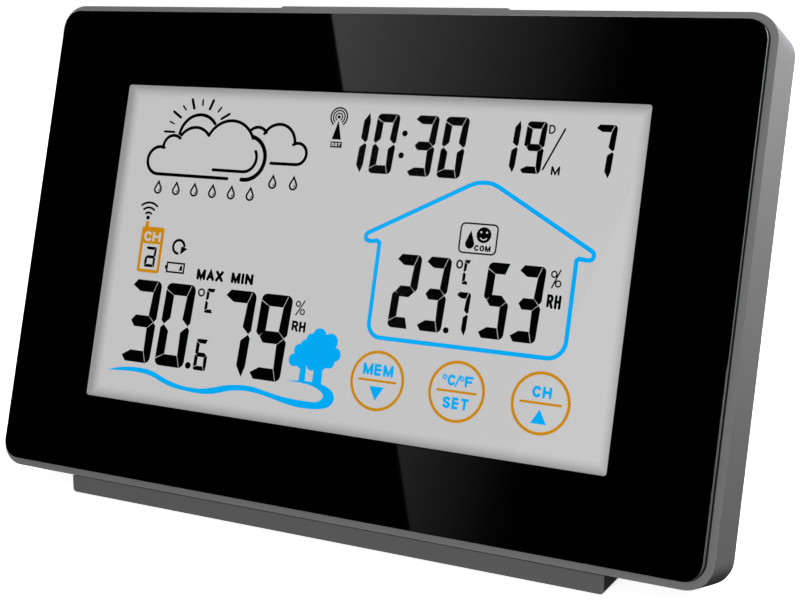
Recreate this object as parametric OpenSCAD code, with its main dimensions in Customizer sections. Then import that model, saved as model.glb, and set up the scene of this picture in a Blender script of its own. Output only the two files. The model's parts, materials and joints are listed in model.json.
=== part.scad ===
// Home weather station: a touch display in a shallow case that leans back on a plug-in stand.
// The case is drawn upright, with its front facing -Y and the centre of the lens's front face
// at [0, 0, 0]; on_case() then leans it back and sets it over the stand.

/* [Case] */
// Width of the lens plate
lens_w = 160.2; // [150:0.1:175]
// Height of the lens plate
lens_h = 101.5; // [98:0.1:108]
// Thickness of the lens plate
lens_t = 1.6; // [1.2:0.1:1.6]
// Corner radius of the lens plate
lens_corner_r = 3.9; // [2:0.1:6]
// How far the front frame stands out around the lens
rim_w = 1.6; // [1.2:0.05:2.5]
// How far the adhesive tape shows around the lens
tape_show = 0.15; // [0.1:0.05:0.6]
// Depth of the front frame's side walls
side_depth = 14; // [13.5:0.1:15]
// How far the case leans back, in degrees
tilt = 16.36; // [15:0.01:18]
// How far the case lifts to come off its stand, for the view of it apart
lift_preview = 0; // [0:1:20]

/* [Display] */
// Width of the liquid crystal glass
glass_w = 126; // [124:0.5:126]
// Height of the liquid crystal glass
glass_h = 75.6; // [74:0.1:75.6]

/* [Back] */
// How far the back plate lies behind the lens
back_y = 24; // [24:0.5:26]
// How far the battery hump lies behind the lens
hump_y = 34; // [34:0.5:37]
// Radius of the hanging hole's round part
keyhole_r = 3.75; // [3.5:0.05:4.5]

/* [Batteries] */
// Radius of an AA cell
cell_r = 7.15; // [7:0.05:7.15]
// Length of an AA cell with its nub
cell_l = 50.5; // [49.2:0.1:50.5]
// Height of the battery pair's centre on the case
cell_z = -16; // [-17:0.5:-14]

/* [Snooze key] */
// Width of the key on the top edge
key_w = 54; // [40:1:60]
// Depth of the key, front to back
key_d = 7.6; // [6.5:0.1:7.6]
// How far the key stands out of the top edge
key_proud = 1.45; // [1:0.05:2]

/* [Stand] */
// Width of the stand
stand_w = 123.3; // [110:0.1:124]
// How far the stand reaches behind the lens centre
stand_rear = 42; // [38:1:50]
// Thickness of the stand's plate
stand_t = 2.65; // [2.2:0.05:2.65]

/* [Hidden] */
$fn = 48;

// Small overlap that makes a cut pass cleanly through a face
eps = 0.05;
// Play between parts that only lie beside each other
gap = 0.3;

// Front frame, from the lens backwards
tape_t = 0.2;
rim_y = lens_t + tape_t;
front_wall = 2;
wall = 2;
side_y = rim_y + side_depth;
case_w = lens_w + 2 * rim_w;
case_h = lens_h + 2 * rim_w;
case_corner_r = lens_corner_r + rim_w - 0.15;
opening_half_w = 65;
opening_top = 39.5;
opening_bottom = -42;

// Recess under the case that the stand plugs into
recess_half_w = stand_w / 2 + 0.5;
recess_front = rim_y + 2.7;
recess_top = -case_h / 2 + 4;

// Display stack
glass_y = rim_y + 0.4;
sheet_t = 1.1;
guide_w = 122;
guide_h = 70;
diffuser_y = glass_y + 2 * sheet_t + 0.1;
guide_y = diffuser_y + 0.3;
guide_t = 3;
reflector_y = guide_y + guide_t + 0.1;
film_t = 0.2;
holder_w = 129.4;
holder_h = 78.4;
holder_front = glass_y + 0.4;
holder_back = reflector_y + 0.5;
holder_plate = 1.2;
zebra_z = 36.4;
zebra_l = 100;

// Main board, on pillars behind the display holder
board_y = holder_back + holder_plate + 1.6;
board_t = 1.6;
board_w = 124;
board_h = 78;
board_back = board_y + board_t;

// Screw places
case_screw_x = 69;
case_screw_z = 39;
board_screw_x = 56;
board_screw_z = 30;
holder_screw_x = 57;
holder_screw_top = 43.5;
holder_screw_bottom = -43.9;
small_screw_r = 1;

// Rear cover
edge_step = 0.2;
back_inset = 8;
hump_half_w = 33.5;
hump_draft = 4;
hump_bottom = cell_z - 20.5;
hump_top = cell_z + 37;
keyhole_z = cell_z + 25.5;
keyhole_slot_r = 2;
keyhole_rise = 6;
pocket_half_w = keyhole_r + 0.8;

// Battery bay, in the rear cover
bay_half_l = 29;
bay_half_h = 15.8;
bay_wall = 1.6;
cell_pitch = 15.4;
bay_floor = hump_y - 16.7;
cell_y = bay_floor + 0.15 + cell_r;
plate_t = 0.4;

// Battery door and its hinge
door_half_w = 31;
door_t = 1.7;
door_play = 0.25;
door_inner_y = hump_y - door_t;
hinge_r = 1.4;
hinge_y = hump_y - hinge_r;
hinge_z = cell_z - bay_half_h - 0.5;
door_top = cell_z + bay_half_h + 1.8;
pin_r = 0.8;
pin_l = 1.4;
pin_play = 0.06;

// Snooze key, its board and its switch
key_front = rim_y + 4.1;
key_top = case_h / 2 + key_proud;
key_flange_z = case_h / 2 - wall;
key_board_z = 41.9;
key_board_t = 1;
switch_h = 3.5;

// Stand
tongue_inner = 44;
tongue_outer = 58;
tongue_y = side_y + 1.6;
tongue_t = 2;
tongue_top = -34.5;
foot_proud = 0.4;
foot_r = 4;
foot_sink = 0.8;
ground = -54.75;
stand_front = -12.65;
lens_toe = -lens_h / 2 * sin(tilt);
shift_y = -(lens_toe + stand_rear) / 2;
shift_z = -ground + foot_proud;

// ---------------------------------------------------------------- shared shapes

// A point of the upright case, once the case leans back: [y, z]
function leant(y, z) = [y * cos(tilt) + z * sin(tilt), z * cos(tilt) - y * sin(tilt)];

// Leans the upright case back and sets it over the stand
module on_case()
    translate([0, shift_y, shift_z])
        rotate([-tilt, 0, 0])
            translate([0, 0, lift_preview])
                children();

// Sets the stand under the case
module on_floor()
    translate([0, shift_y, shift_z])
        children();

// Rectangle with true round corners
module rounded_rect(w, h, r) {
    square([w - 2 * r, h], center = true);
    square([w, h - 2 * r], center = true);
    for (sx = [-1, 1], sz = [-1, 1])
        translate([sx * (w / 2 - r), sz * (h / 2 - r)])
            circle(r);
}

// Plate that faces the front, from depth y0 to y1
module plate(w, h, r, y0, y1)
    translate([0, y1, 0])
        rotate([90, 0, 0])
            linear_extrude(y1 - y0)
                rounded_rect(w, h, r);

// Block from one corner to the other
module block(from, to)
    translate(from)
        cube(to - from);

// Round bar along the depth, from y0 to y1
module bar_y(x, z, r, y0, y1)
    translate([x, y1, z])
        rotate([90, 0, 0])
            cylinder(r = r, h = y1 - y0);

// Round bar along the width, from x0 to x1
module bar_x(y, z, r, x0, x1)
    translate([x0, y, z])
        rotate([0, 90, 0])
            cylinder(r = r, h = x1 - x0);

// One copy on each side of the middle
module both_sides() {
    children();
    mirror([1, 0, 0])
        children();
}

// Round wire through a list of points
module wire(points, r)
    for (i = [0 : len(points) - 2]) {
        step = points[i + 1] - points[i];
        translate(points[i])
            rotate([0, acos(step[2] / norm(step)), atan2(step[1], step[0])])
                cylinder(r = r, h = norm(step), $fn = 16);
        translate(points[i])
            sphere(r * 1.05, $fn = 16);
    }

// Self-tapping screw along the depth: the underside of its head is at y
module screw(x, z, y, shank_r, shank_l, head_r, head_h)
    difference() {
        union() {
            bar_y(x, z, head_r, y, y + head_h);
            bar_y(x, z, shank_r, y - shank_l, y + eps);
        }
        for (turn = [0, 90])
            translate([x, y + head_h, z])
                rotate([0, turn, 0])
                    cube([head_r * 1.2, head_h, head_r * 0.3], center = true);
    }

// Recess for the stand, grown by the wall that closes it
module stand_recess(grow)
    block([-recess_half_w - grow, recess_front - grow, -case_h],
          [recess_half_w + grow, back_y + 20, recess_top + grow]);

// ---------------------------------------------------------------- front of the case

// Clear acrylic plate with the display window left in its black print
module front_lens()
    color("black")
        on_case()
            plate(lens_w, lens_h, lens_corner_r, 0, lens_t);

// Die-cut adhesive frame that holds the lens on the front frame
module lens_tape()
    color("dimgray")
        on_case()
            difference() {
                plate(lens_w + 2 * tape_show, lens_h + 2 * tape_show, lens_corner_r + tape_show,
                      lens_t, rim_y);
                block([-opening_half_w - 0.5, lens_t - eps, opening_bottom - 0.5],
                      [opening_half_w + 0.5, rim_y + eps, opening_top + 0.5]);
            }

// Clear film with the three touch pads, and the tail that runs to the main board
module touch_film() {
    tail_z = opening_bottom + 1.2;
    color("lightblue")
        on_case()
            union() {
                block([-64, lens_t, -38.4], [64, lens_t + 0.15, 38.4]);
                block([40, lens_t, tail_z], [50, lens_t + 0.15, -38]);
                block([40, lens_t, tail_z], [50, board_back + 1, tail_z + 0.15]);
                block([40, board_back + 0.85, tail_z], [50, board_back + 1, -34]);
            }
}

// Moulded frame: the rim around the lens, the side walls, and the posts inside
module front_frame()
    color("#6e6e6e")
        on_case()
            difference() {
                union() {
                    front_shell();
                    both_sides() {
                        for (z = [-case_screw_z, case_screw_z])
                            bar_y(case_screw_x, z, 3.2, rim_y + 1, side_y + 1.2);
                        bar_y(holder_screw_x, holder_screw_top, 2.2, rim_y + 1, rim_y + 3.2);
                        bar_y(holder_screw_x, holder_screw_bottom, 2.2, rim_y + 1, rim_y + 3.2);
                        block([10, rim_y + 1, key_board_z - 1.5], [12, rim_y + 11, key_board_z]);
                    }
                }
                both_sides() {
                    for (z = [-case_screw_z, case_screw_z])
                        bar_y(case_screw_x, z, 1.42, rim_y + 5, side_y + 2);
                    bar_y(holder_screw_x, holder_screw_top, small_screw_r + 0.02,
                          rim_y + 0.6, rim_y + 4);
                    bar_y(holder_screw_x, holder_screw_bottom, small_screw_r + 0.02,
                          rim_y + 0.6, rim_y + 4);
                }
            }

// Open-backed shell of the front frame
module front_shell()
    difference() {
        plate(case_w, case_h, case_corner_r, rim_y, side_y);
        difference() {
            plate(case_w - 2 * wall, case_h - 2 * wall, case_corner_r - wall,
                  rim_y + front_wall, side_y + 1);
            stand_recess(wall);
        }
        stand_recess(0);
        block([-opening_half_w, rim_y - 1, opening_bottom],
              [opening_half_w, rim_y + front_wall + 1, opening_top]);
        block([-key_w / 2 - 0.25, key_front - 0.25, key_flange_z - 1],
              [key_w / 2 + 0.25, key_front + key_d + 0.25, case_h]);
    }

// ---------------------------------------------------------------- display

// Two sheets of glass: the front one is taller, so that its contacts face the zebra strips
module lcd_glass()
    color("silver")
        on_case()
            union() {
                plate(glass_w, glass_h, 0.3, glass_y, glass_y + sheet_t);
                plate(glass_w, guide_h + 0.6, 0.3, glass_y + sheet_t - 0.01, glass_y + 2 * sheet_t);
            }

// Milky sheet that evens out the light
module diffuser_sheet()
    color("white")
        on_case()
            plate(guide_w, guide_h, 0.5, diffuser_y, diffuser_y + film_t);

// Acrylic slab that carries the backlight across the display
module light_guide()
    color("azure")
        on_case()
            plate(guide_w, guide_h, 0.5, guide_y, guide_y + guide_t);

// White sheet behind the light guide
module reflector_sheet()
    color("white")
        on_case()
            plate(guide_w, guide_h, 0.5, reflector_y, reflector_y + film_t);

// Narrow board with three side lights, at the light guide's left edge
module backlight_strip()
    color("khaki")
        on_case()
            union() {
                block([-63.1, guide_y, -30], [-62.3, guide_y + guide_t, 30]);
                for (z = [-20, 0, 20])
                    block([-62.35, guide_y + 0.6, z - 1.6], [-61.2, guide_y + 2.4, z + 1.6]);
            }

// Tray that holds the glass and the light guide, with four screw tabs
module lcd_holder()
    color("white")
        on_case()
            difference() {
                union() {
                    plate(holder_w, holder_h, 1, holder_front, holder_back + holder_plate);
                    for (x = [-board_screw_x, board_screw_x], z = [-board_screw_z, board_screw_z])
                        bar_y(x, z, 2.4, holder_back + 0.5, board_y);
                    for (x = [-holder_screw_x, holder_screw_x]) {
                        block([x - 4, rim_y + 3.2, holder_h / 2 - 1], [x + 4, rim_y + 4.6, 46.3]);
                        block([x - 4, rim_y + 3.2, -46.1], [x + 4, rim_y + 4.6, 1 - holder_h / 2]);
                    }
                }
                block([-63.3, holder_front - 1, -glass_h / 2 - gap],
                      [63.3, holder_back, glass_h / 2 + gap]);
                for (side = [-1, 1])
                    translate([0, 0, side * zebra_z])
                        block([-zebra_l / 2 - gap, holder_back - 1, -1.2],
                              [zebra_l / 2 + gap, board_y, 1.2]);
                for (x = [-board_screw_x, board_screw_x], z = [-board_screw_z, board_screw_z])
                    bar_y(x, z, small_screw_r + 0.02, holder_back - 1, board_y + 1);
                for (x = [-holder_screw_x, holder_screw_x], z = [holder_screw_bottom, holder_screw_top])
                    bar_y(x, z, small_screw_r + 0.2, rim_y + 3, rim_y + 5);
            }

// Conductive rubber bars that join the glass to the main board
module zebra_strips()
    color("hotpink")
        on_case()
            for (side = [-1, 1])
                translate([0, 0, side * zebra_z])
                    block([-zebra_l / 2, glass_y + sheet_t, -1], [zebra_l / 2, board_y, 1]);

// ---------------------------------------------------------------- electronics

// Printed circuit board
module main_board()
    color("green")
        on_case()
            difference() {
                plate(board_w, board_h, 1.5, board_y, board_back);
                for (x = [-board_screw_x, board_screw_x], z = [-board_screw_z, board_screw_z])
                    bar_y(x, z, 1.2, board_y - 1, board_back + 1);
            }

// Drop of black resin over the controller chip
module controller_blob()
    color("black")
        on_case()
            translate([-24, board_back, 22])
                rotate([-90, 0, 0])
                    rotate_extrude()
                        intersection() {
                            translate([0, -11.6])
                                circle(13.2, $fn = 96);
                            square([20, 5]);
                        }

// Small can that keeps the clock's time
module clock_crystal()
    color("silver")
        on_case()
            bar_x(board_back + 1.1, 6, 1, -12, -5);

// Two electrolytic capacitors, standing on the board
module capacitors()
    color("navy")
        on_case()
            for (x = [-44, -37])
                bar_y(x, 33, 2.5, board_back, board_back + 5);

// Receiver board for the outdoor sensor, on its row of pins
module radio_module()
    color("darkgreen")
        on_case()
            union() {
                block([20, board_back + 0.8, 6], [48, board_back + 1.6, 18]);
                block([24, board_back + 1.55, 9], [31, board_back + 2.4, 15]);
                block([35, board_back + 1.55, 8.5], [38.5, board_back + 2.4, 16]);
                for (x = [22 : 4 : 46])
                    block([x - 0.3, board_back, 6.9], [x + 0.3, board_back + 0.85, 7.5]);
            }

// Stiff wire that stands up from the receiver board
module radio_antenna() {
    y = board_back + 2.1;
    color("goldenrod")
        on_case()
            wire([[44, y, 12], [58, y, 12], [62, y, 16], [62, y, 42], [30, y, 42]], 0.4);
}

// Ferrite core of the time signal receiver
module ferrite_rod()
    color("dimgray")
        on_case()
            bar_x(back_y - 6.6, 32, 4, -30, 30);

// Winding on the ferrite core
module time_signal_coil()
    color("chocolate")
        on_case()
            difference() {
                bar_x(back_y - 6.6, 32, 4.45, -9, 9);
                bar_x(back_y - 6.6, 32, 4.05, -10, 10);
            }

// Temperature and humidity sensor on its own board, beside the vents
module humidity_sensor()
    color("ivory")
        on_case()
            union() {
                block([-66, board_back + 2.6, 6], [-52, board_back + 3.4, 20]);
                block([-63, board_back + 3.35, 9], [-55, board_back + 6, 17]);
            }

// Sounder, against the holes in the rear cover
module buzzer()
    color("black")
        on_case()
            difference() {
                bar_y(52, 28, 8, back_y - 7, back_y - wall - 0.1);
                bar_y(52, 28, 1.2, back_y - 5, back_y - wall);
            }

// Small board under the snooze key
module key_board()
    color("green")
        on_case()
            union() {
                block([-12, key_front + 0.3, key_board_z], [12, key_front + 6.9, key_board_z + key_board_t]);
                for (x = [-8, 8])
                    block([x - 0.4, board_y + 0.4, board_h / 2], [x + 0.4, board_y + 1.2, key_board_z + 0.1]);
            }

// Body of the push switch
module snooze_switch() {
    z = key_board_z + key_board_t;
    y = key_front + key_d / 2;
    color("silver")
        on_case()
            difference() {
                block([-3, y - 3, z], [3, y + 3, z + switch_h]);
                translate([0, y, z + 1])
                    cylinder(r = 1.8, h = switch_h);
            }
}

// Stem of the push switch, which the key presses
module switch_stem() {
    z = key_board_z + key_board_t;
    color("white")
        on_case()
            translate([0, key_front + key_d / 2, z + 2])
                cylinder(r = 1.7, h = key_flange_z - 2.85 - z - 2);
}

// ---------------------------------------------------------------- snooze key

// Long key on the top edge, held in by its flange
module snooze_key() {
    flange_t = 2.2;
    color("#6e6e6e")
        on_case()
            union() {
                intersection() {
                    plate(key_w, 2 * key_top, 1, key_front, key_front + key_d);
                    block([-key_w, 0, key_flange_z - 1], [key_w, side_y, key_top + 1]);
                }
                block([-key_w / 2 - 2, key_front - 1, key_flange_z - 0.1 - flange_t - 0.5],
                      [key_w / 2 + 2, key_front + key_d + 0.6, key_flange_z - 0.1]);
            }
}

// ---------------------------------------------------------------- batteries

// Radius, along x and around, of a cone-shaped contact spring's wire centre
function spring_point(s, turns, r0, r1, l) =
    [l * s, (r0 + (r1 - r0) * s) * cos(360 * turns * s), (r0 + (r1 - r0) * s) * sin(360 * turns * s)];

// Cone-shaped contact spring, from x = 0 towards +X
module contact_spring(l) {
    turns = 4;
    wire_r = 0.4;
    sides = 6;
    rings = 56;
    centres = [for (i = [0 : rings - 1]) spring_point(i / (rings - 1), turns, 4.4, 2.4, l)];
    points = [
        for (i = [0 : rings - 1], k = [0 : sides - 1])
            let (radial = [0, centres[i][1], centres[i][2]] / norm([0, centres[i][1], centres[i][2]]))
                centres[i] + wire_r * (cos(360 * k / sides) * radial + sin(360 * k / sides) * [1, 0, 0])
    ];
    faces = concat(
        [[for (k = [0 : sides - 1]) k]],
        [[for (k = [sides - 1 : -1 : 0]) (rings - 1) * sides + k]],
        [for (i = [0 : rings - 2], k = [0 : sides - 1], half = [0, 1])
            let (a = i * sides + k, b = i * sides + (k + 1) % sides)
                half == 0 ? [a, a + sides, b + sides] : [a, b + sides, b]]
    );
    polyhedron(points, faces);
}

// The negative ends press on springs: the upper cell's on the left, the lower cell's on the right
module battery_springs() {
    l = 2 * (bay_half_l - plate_t) - cell_l - 0.2;
    color("silver")
        on_case()
            for (side = [-1, 1])
                translate([side * (bay_half_l - plate_t - 0.42), cell_y, cell_z - side * cell_pitch / 2])
                    rotate([0, side > 0 ? 180 : 0, 0])
                        contact_spring(l - 0.86);
}

// Spring steel plates at both ends of the bay: one joins the cells, two lead out
module battery_plates()
    color("silver")
        on_case()
            union() {
                block([-bay_half_l, cell_y - 5, cell_z - 13.5],
                      [plate_t - bay_half_l, cell_y + 5, cell_z + 13.5]);
                for (side = [-1, 1])
                    translate([bay_half_l - plate_t, cell_y - 5, cell_z + side * cell_pitch / 2 - 6])
                        cube([plate_t, 10, 12]);
            }

// Two AA cells, end to end reversed
module aa_cells()
    color("#3f6f8f")
        on_case()
            for (side = [-1, 1])
                translate([side * (bay_half_l - plate_t), cell_y, cell_z + side * cell_pitch / 2])
                    rotate([0, -side * 90, 0])
                        union() {
                            cylinder(r = 2.75, h = 1.5);
                            translate([0, 0, 1])
                                cylinder(r = cell_r, h = cell_l - 1);
                        }

// Red and black wires from the contact plates to the main board
module battery_wires() {
    x = bay_half_l + bay_wall + 1.2;
    y = board_back + 2;
    color("firebrick")
        on_case()
            for (side = [-1, 1])
                translate([0, 0, cell_z + side * cell_pitch / 2])
                    wire([[x, y + 6, 0], [x, y, 0], [x, y, side * 5], [x, board_back, side * 5]], 0.6);
}

// ---------------------------------------------------------------- back of the case

// Solid between two upright outlines, w0 by h0 at depth y0 and w1 by h1 at depth y1
module tapered(w0, h0, r0, y0, w1, h1, r1, y1)
    hull() {
        plate(w0, h0, r0, y0, y0 + 0.02, $fn = 32);
        plate(w1, h1, r1, y1 - 0.02, y1, $fn = 32);
    }

// Outer or inner form of the back: inset is 0 outside, and the wall's share inside
module back_form(inset, back, hump) {
    slope = back_inset / (back_y - side_y);
    w = case_w - 2 * edge_step - 2 * inset * 1.4;
    h = case_h - 2 * edge_step - 2 * inset * 1.4;
    shrink = 2 * slope * (back - side_y);
    tapered(w, h, case_corner_r, side_y - (inset > 0 ? eps : 0), w - shrink, h - shrink, 9, back);
    hump_w = 2 * (hump_half_w + hump_draft) - 2 * inset;
    hump_h = hump_top - hump_bottom + 2 * hump_draft - 2 * inset;
    translate([0, 0, (hump_top + hump_bottom) / 2])
        tapered(hump_w, hump_h, 8 - inset, back - 4, hump_w - 2 * hump_draft, hump_h - 2 * hump_draft,
                6 - inset, hump);
}

// Moulded back with the battery bay, the stand's sockets, the vents and the hanging hole
module rear_cover()
    color("#4a4a4c")
        on_case()
            difference() {
                union() {
                    difference() {
                        back_form(0, back_y, hump_y);
                        difference() {
                            back_form(wall, back_y - wall, hump_y - wall);
                            stand_recess(wall);
                        }
                        stand_recess(0);
                    }
                    cover_lip();
                    intersection() {
                        cover_inside();
                        back_form(0, back_y, hump_y);
                    }
                }
                cover_cuts();
            }

// Thin lip that centres the cover in the front frame
module cover_lip()
    difference() {
        plate(case_w - 2 * wall - 0.4, case_h - 2 * wall - 0.4, 3, side_y - 1.3, side_y + 0.6);
        plate(case_w - 2 * wall - 3.4, case_h - 2 * wall - 3.4, 2, side_y - 2, side_y + 1);
        stand_recess(wall + gap);
    }

// What stands inside the cover: screw towers, battery bay, sockets, rod clips, hanger pocket
module cover_inside() {
    both_sides() {
        for (z = [-case_screw_z, case_screw_z])
            bar_y(case_screw_x, z, 3.7, side_y + 1.3, back_y);
        block([tongue_inner - 1.7, side_y, recess_top],
              [tongue_outer + 1.7, tongue_y + 3.7, tongue_top + 1.9]);
        block([22, back_y - 10, 26.5], [25, back_y - 1, 37.5]);
        block([door_half_w, hinge_y - 2.2, hinge_z - 2], [hump_half_w + 2, hump_y, hinge_z + 2]);
    }
    block([-bay_half_l - bay_wall, bay_floor - 1.3, cell_z - bay_half_h - bay_wall],
          [bay_half_l + bay_wall, hump_y, cell_z + bay_half_h + bay_wall]);
    block([-pocket_half_w - 1.5, hump_y - 7, keyhole_z - pocket_half_w - 1.5],
          [pocket_half_w + 1.5, hump_y - 1, keyhole_z + keyhole_rise + pocket_half_w + 1.5]);
}

// What is cut out of the cover
module cover_cuts() {
    both_sides() {
        for (z = [-case_screw_z, case_screw_z]) {
            bar_y(case_screw_x, z, 1.6, side_y, back_y + 1);
            bar_y(case_screw_x, z, 3.1, side_y + 3.2, back_y + 1);
        }
        block([tongue_inner - 0.3, tongue_y - 0.25, recess_top - 5],
              [tongue_outer + 0.3, tongue_y + tongue_t + 0.25, tongue_top + 0.5]);
        bar_x(back_y - 6.6, 32, 4.05, 20, 27);
        block([20, back_y - 14, 29.5], [27, back_y - 6.6, 34.5]);
        bar_x(hinge_y, hinge_z, pin_r + pin_play, door_half_w - 1, door_half_w + pin_l + 0.2);
    }
    // Battery bay, the door's seat and room for the door's round lower edge
    block([-bay_half_l, bay_floor, cell_z - bay_half_h], [bay_half_l, hump_y + 1, cell_z + bay_half_h]);
    block([-door_half_w - door_play, door_inner_y - 0.1, hinge_z],
          [door_half_w + door_play, hump_y + 1, door_top + door_play]);
    bar_x(hinge_y, hinge_z, hinge_r + 0.15, -door_half_w - door_play, door_half_w + door_play);
    block([-door_half_w - door_play, hinge_y, hinge_z - hinge_r - 0.15],
          [door_half_w + door_play, hump_y + 1, hinge_z + 1]);
    // Finger hollow above the latch
    translate([0, hump_y + 7, door_top + 1])
        sphere(9, $fn = 48);
    // Hanging hole, and the pocket behind it for the head of the wall screw
    bar_y(0, keyhole_z, keyhole_r, hump_y - wall - eps, hump_y + 1);
    bar_y(0, keyhole_z + keyhole_rise, keyhole_slot_r, hump_y - wall - eps, hump_y + 1);
    block([-keyhole_slot_r, hump_y - wall - eps, keyhole_z],
          [keyhole_slot_r, hump_y + 1, keyhole_z + keyhole_rise]);
    block([-pocket_half_w, hump_y - 5.5, keyhole_z - pocket_half_w],
          [pocket_half_w, hump_y - wall, keyhole_z + keyhole_rise + pocket_half_w]);
    // Vents beside the sensor, and the sounder's holes
    for (z = [6 : 3.5 : 20])
        block([-67, back_y - wall - 1, z], [-49, back_y + 1, z + 1.4]);
    for (turn = [0 : 60 : 300])
        bar_y(52 + 4.5 * cos(turn), 28 + 4.5 * sin(turn), 0.9, back_y - wall - 0.05, back_y + 1);
    bar_y(52, 28, 0.9, back_y - wall - 0.05, back_y + 1);
}

// Door over the cells: it turns on two pins at its lower edge, and its latch is cut into its top
module battery_door()
    color("#4a4a4c")
        on_case()
            difference() {
                union() {
                    block([-door_half_w, door_inner_y, hinge_z], [door_half_w, hump_y, door_top]);
                    bar_x(hinge_y, hinge_z, hinge_r, -door_half_w, door_half_w);
                    bar_x(hinge_y, hinge_z, pin_r, -door_half_w - pin_l, door_half_w + pin_l);
                }
                for (side = [-1, 1])
                    block([side * 7 - 0.4, door_inner_y - 1, door_top - 9],
                          [side * 7 + 0.4, hump_y + 1, door_top + 1]);
                for (z = [door_top - 4.6 : 1.4 : door_top - 1.4])
                    block([-5, hump_y - 0.4, z - 0.3], [5, hump_y + 1, z + 0.3]);
            }

// ---------------------------------------------------------------- fasteners

// Four screws that close the case
module case_screws()
    color("silver")
        on_case()
            for (x = [-case_screw_x, case_screw_x], z = [-case_screw_z, case_screw_z])
                screw(x, z, side_y + 3.25, 1.38, 9, 2.75, 1.9);

// Four screws that hold the main board on the display holder
module board_screws()
    color("silver")
        on_case()
            for (x = [-board_screw_x, board_screw_x], z = [-board_screw_z, board_screw_z])
                screw(x, z, board_back, small_screw_r, 3.6, 1.9, 1.2);

// Four screws that hold the display holder on the front frame
module holder_screws()
    color("silver")
        on_case()
            for (x = [-holder_screw_x, holder_screw_x], z = [holder_screw_bottom, holder_screw_top])
                screw(x, z, rim_y + 4.6, small_screw_r, 3.8, 1.9, 1.2);

// ---------------------------------------------------------------- stand

// Side view of the stand: a flat plate with a raised toe that fills the recess under the case
function stand_outline() =
    let (lip = -case_h / 2 - 0.15, tenon = recess_top - 0.3, toe = leant(recess_front + 0.3, lip))
        [[stand_front, ground],
         [stand_rear, ground],
         [stand_rear, ground + stand_t - 0.5],
         leant(side_y + 4.5, recess_top) + [0, -0.35],
         leant(side_y - 0.3, tenon),
         leant(recess_front + 0.3, tenon),
         toe,
         [stand_front, toe[1] + (toe[0] - stand_front) * tan(tilt)]];

// Plug-in stand: the case's sockets drop over its two tongues
module stand()
    color("#4a4a4c")
        on_floor()
            difference() {
                union() {
                    intersection() {
                        rotate([90, 0, 90])
                            linear_extrude(stand_w, center = true)
                                polygon(stand_outline());
                        translate([0, stand_rear, ground + 10])
                            rotate([90, 0, 0])
                                linear_extrude(stand_rear - stand_front + 1)
                                    rounded_rect(stand_w, 20, 0.8);
                        stand_plan();
                    }
                    rotate([-tilt, 0, 0])
                        both_sides()
                            block([tongue_inner, tongue_y, recess_top - 1.6],
                                  [tongue_outer, tongue_y + tongue_t, tongue_top]);
                }
                for (x = [-foot_x(), foot_x()], y = foot_ys())
                    translate([x, y, ground - 1])
                        cylinder(r = foot_r + 0.1, h = 1 + foot_sink);
            }

// Plan of the stand, with rounded rear corners
module stand_plan()
    translate([0, 0, ground - 1])
        linear_extrude(20)
            union() {
                translate([-stand_w / 2, stand_front])
                    square([stand_w, stand_rear - stand_front - 8]);
                translate([0, stand_rear - 10])
                    rounded_rect(stand_w, 20, 8);
            }

function foot_x() = stand_w / 2 - 8;
function foot_ys() = [stand_front + 6.5, stand_rear - 8];

// Four rubber feet, let into the stand
module rubber_feet()
    color("#202020")
        on_floor()
            for (x = [-foot_x(), foot_x()], y = foot_ys())
                translate([x, y, ground - foot_proud])
                    cylinder(r = foot_r, h = foot_proud + foot_sink);

front_lens();
lens_tape();
touch_film();
front_frame();
lcd_glass();
diffuser_sheet();
light_guide();
reflector_sheet();
backlight_strip();
lcd_holder();
zebra_strips();
main_board();
controller_blob();
clock_crystal();
capacitors();
radio_module();
radio_antenna();
ferrite_rod();
time_signal_coil();
humidity_sensor();
buzzer();
key_board();
snooze_switch();
switch_stem();
snooze_key();
battery_springs();
battery_plates();
aa_cells();
battery_wires();
rear_cover();
battery_door();
case_screws();
board_screws();
holder_screws();
stand();
rubber_feet();
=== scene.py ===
import json
import math

import bmesh
import bpy
from mathutils import Matrix, Vector


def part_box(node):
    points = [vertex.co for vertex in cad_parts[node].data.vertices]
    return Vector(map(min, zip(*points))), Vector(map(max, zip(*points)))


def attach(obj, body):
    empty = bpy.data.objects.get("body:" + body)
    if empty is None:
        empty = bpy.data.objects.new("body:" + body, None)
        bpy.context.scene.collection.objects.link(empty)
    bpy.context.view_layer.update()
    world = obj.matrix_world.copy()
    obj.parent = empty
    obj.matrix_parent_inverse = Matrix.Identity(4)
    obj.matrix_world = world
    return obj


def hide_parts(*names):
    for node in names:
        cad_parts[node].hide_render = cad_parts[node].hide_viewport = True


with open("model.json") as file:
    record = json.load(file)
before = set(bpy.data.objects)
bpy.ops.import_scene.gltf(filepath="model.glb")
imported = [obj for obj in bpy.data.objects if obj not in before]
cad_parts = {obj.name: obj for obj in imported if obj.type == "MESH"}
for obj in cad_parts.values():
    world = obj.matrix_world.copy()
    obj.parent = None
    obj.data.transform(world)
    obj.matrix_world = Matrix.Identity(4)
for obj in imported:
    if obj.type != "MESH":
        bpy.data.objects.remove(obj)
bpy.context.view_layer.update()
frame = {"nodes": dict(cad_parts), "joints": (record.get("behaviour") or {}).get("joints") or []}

# ---------------------------------------------------------------- camera
# It stands close in front of the station, a little above it and well round to its right.
# Places are taken along the leaning case's own axes: x to the right, y into the case from the
# front of the lens, and z up the lens, from the middle of the lens.
MM = 0.001
LENS_THICK = 1.6 * MM
lift_joint = next(joint for joint in frame["joints"] if joint["name"] == "case_lift")
lean = math.atan2(lift_joint["axis"][1], lift_joint["axis"][2])
lens_low, lens_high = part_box("front_lens")
inward = Vector((0, math.cos(lean), -math.sin(lean)))
lens_middle = (lens_low + lens_high) / 2 - inward * LENS_THICK / 2
on_case = Matrix.Translation(lens_middle) @ Matrix.Rotation(-lean, 4, "X")

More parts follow.
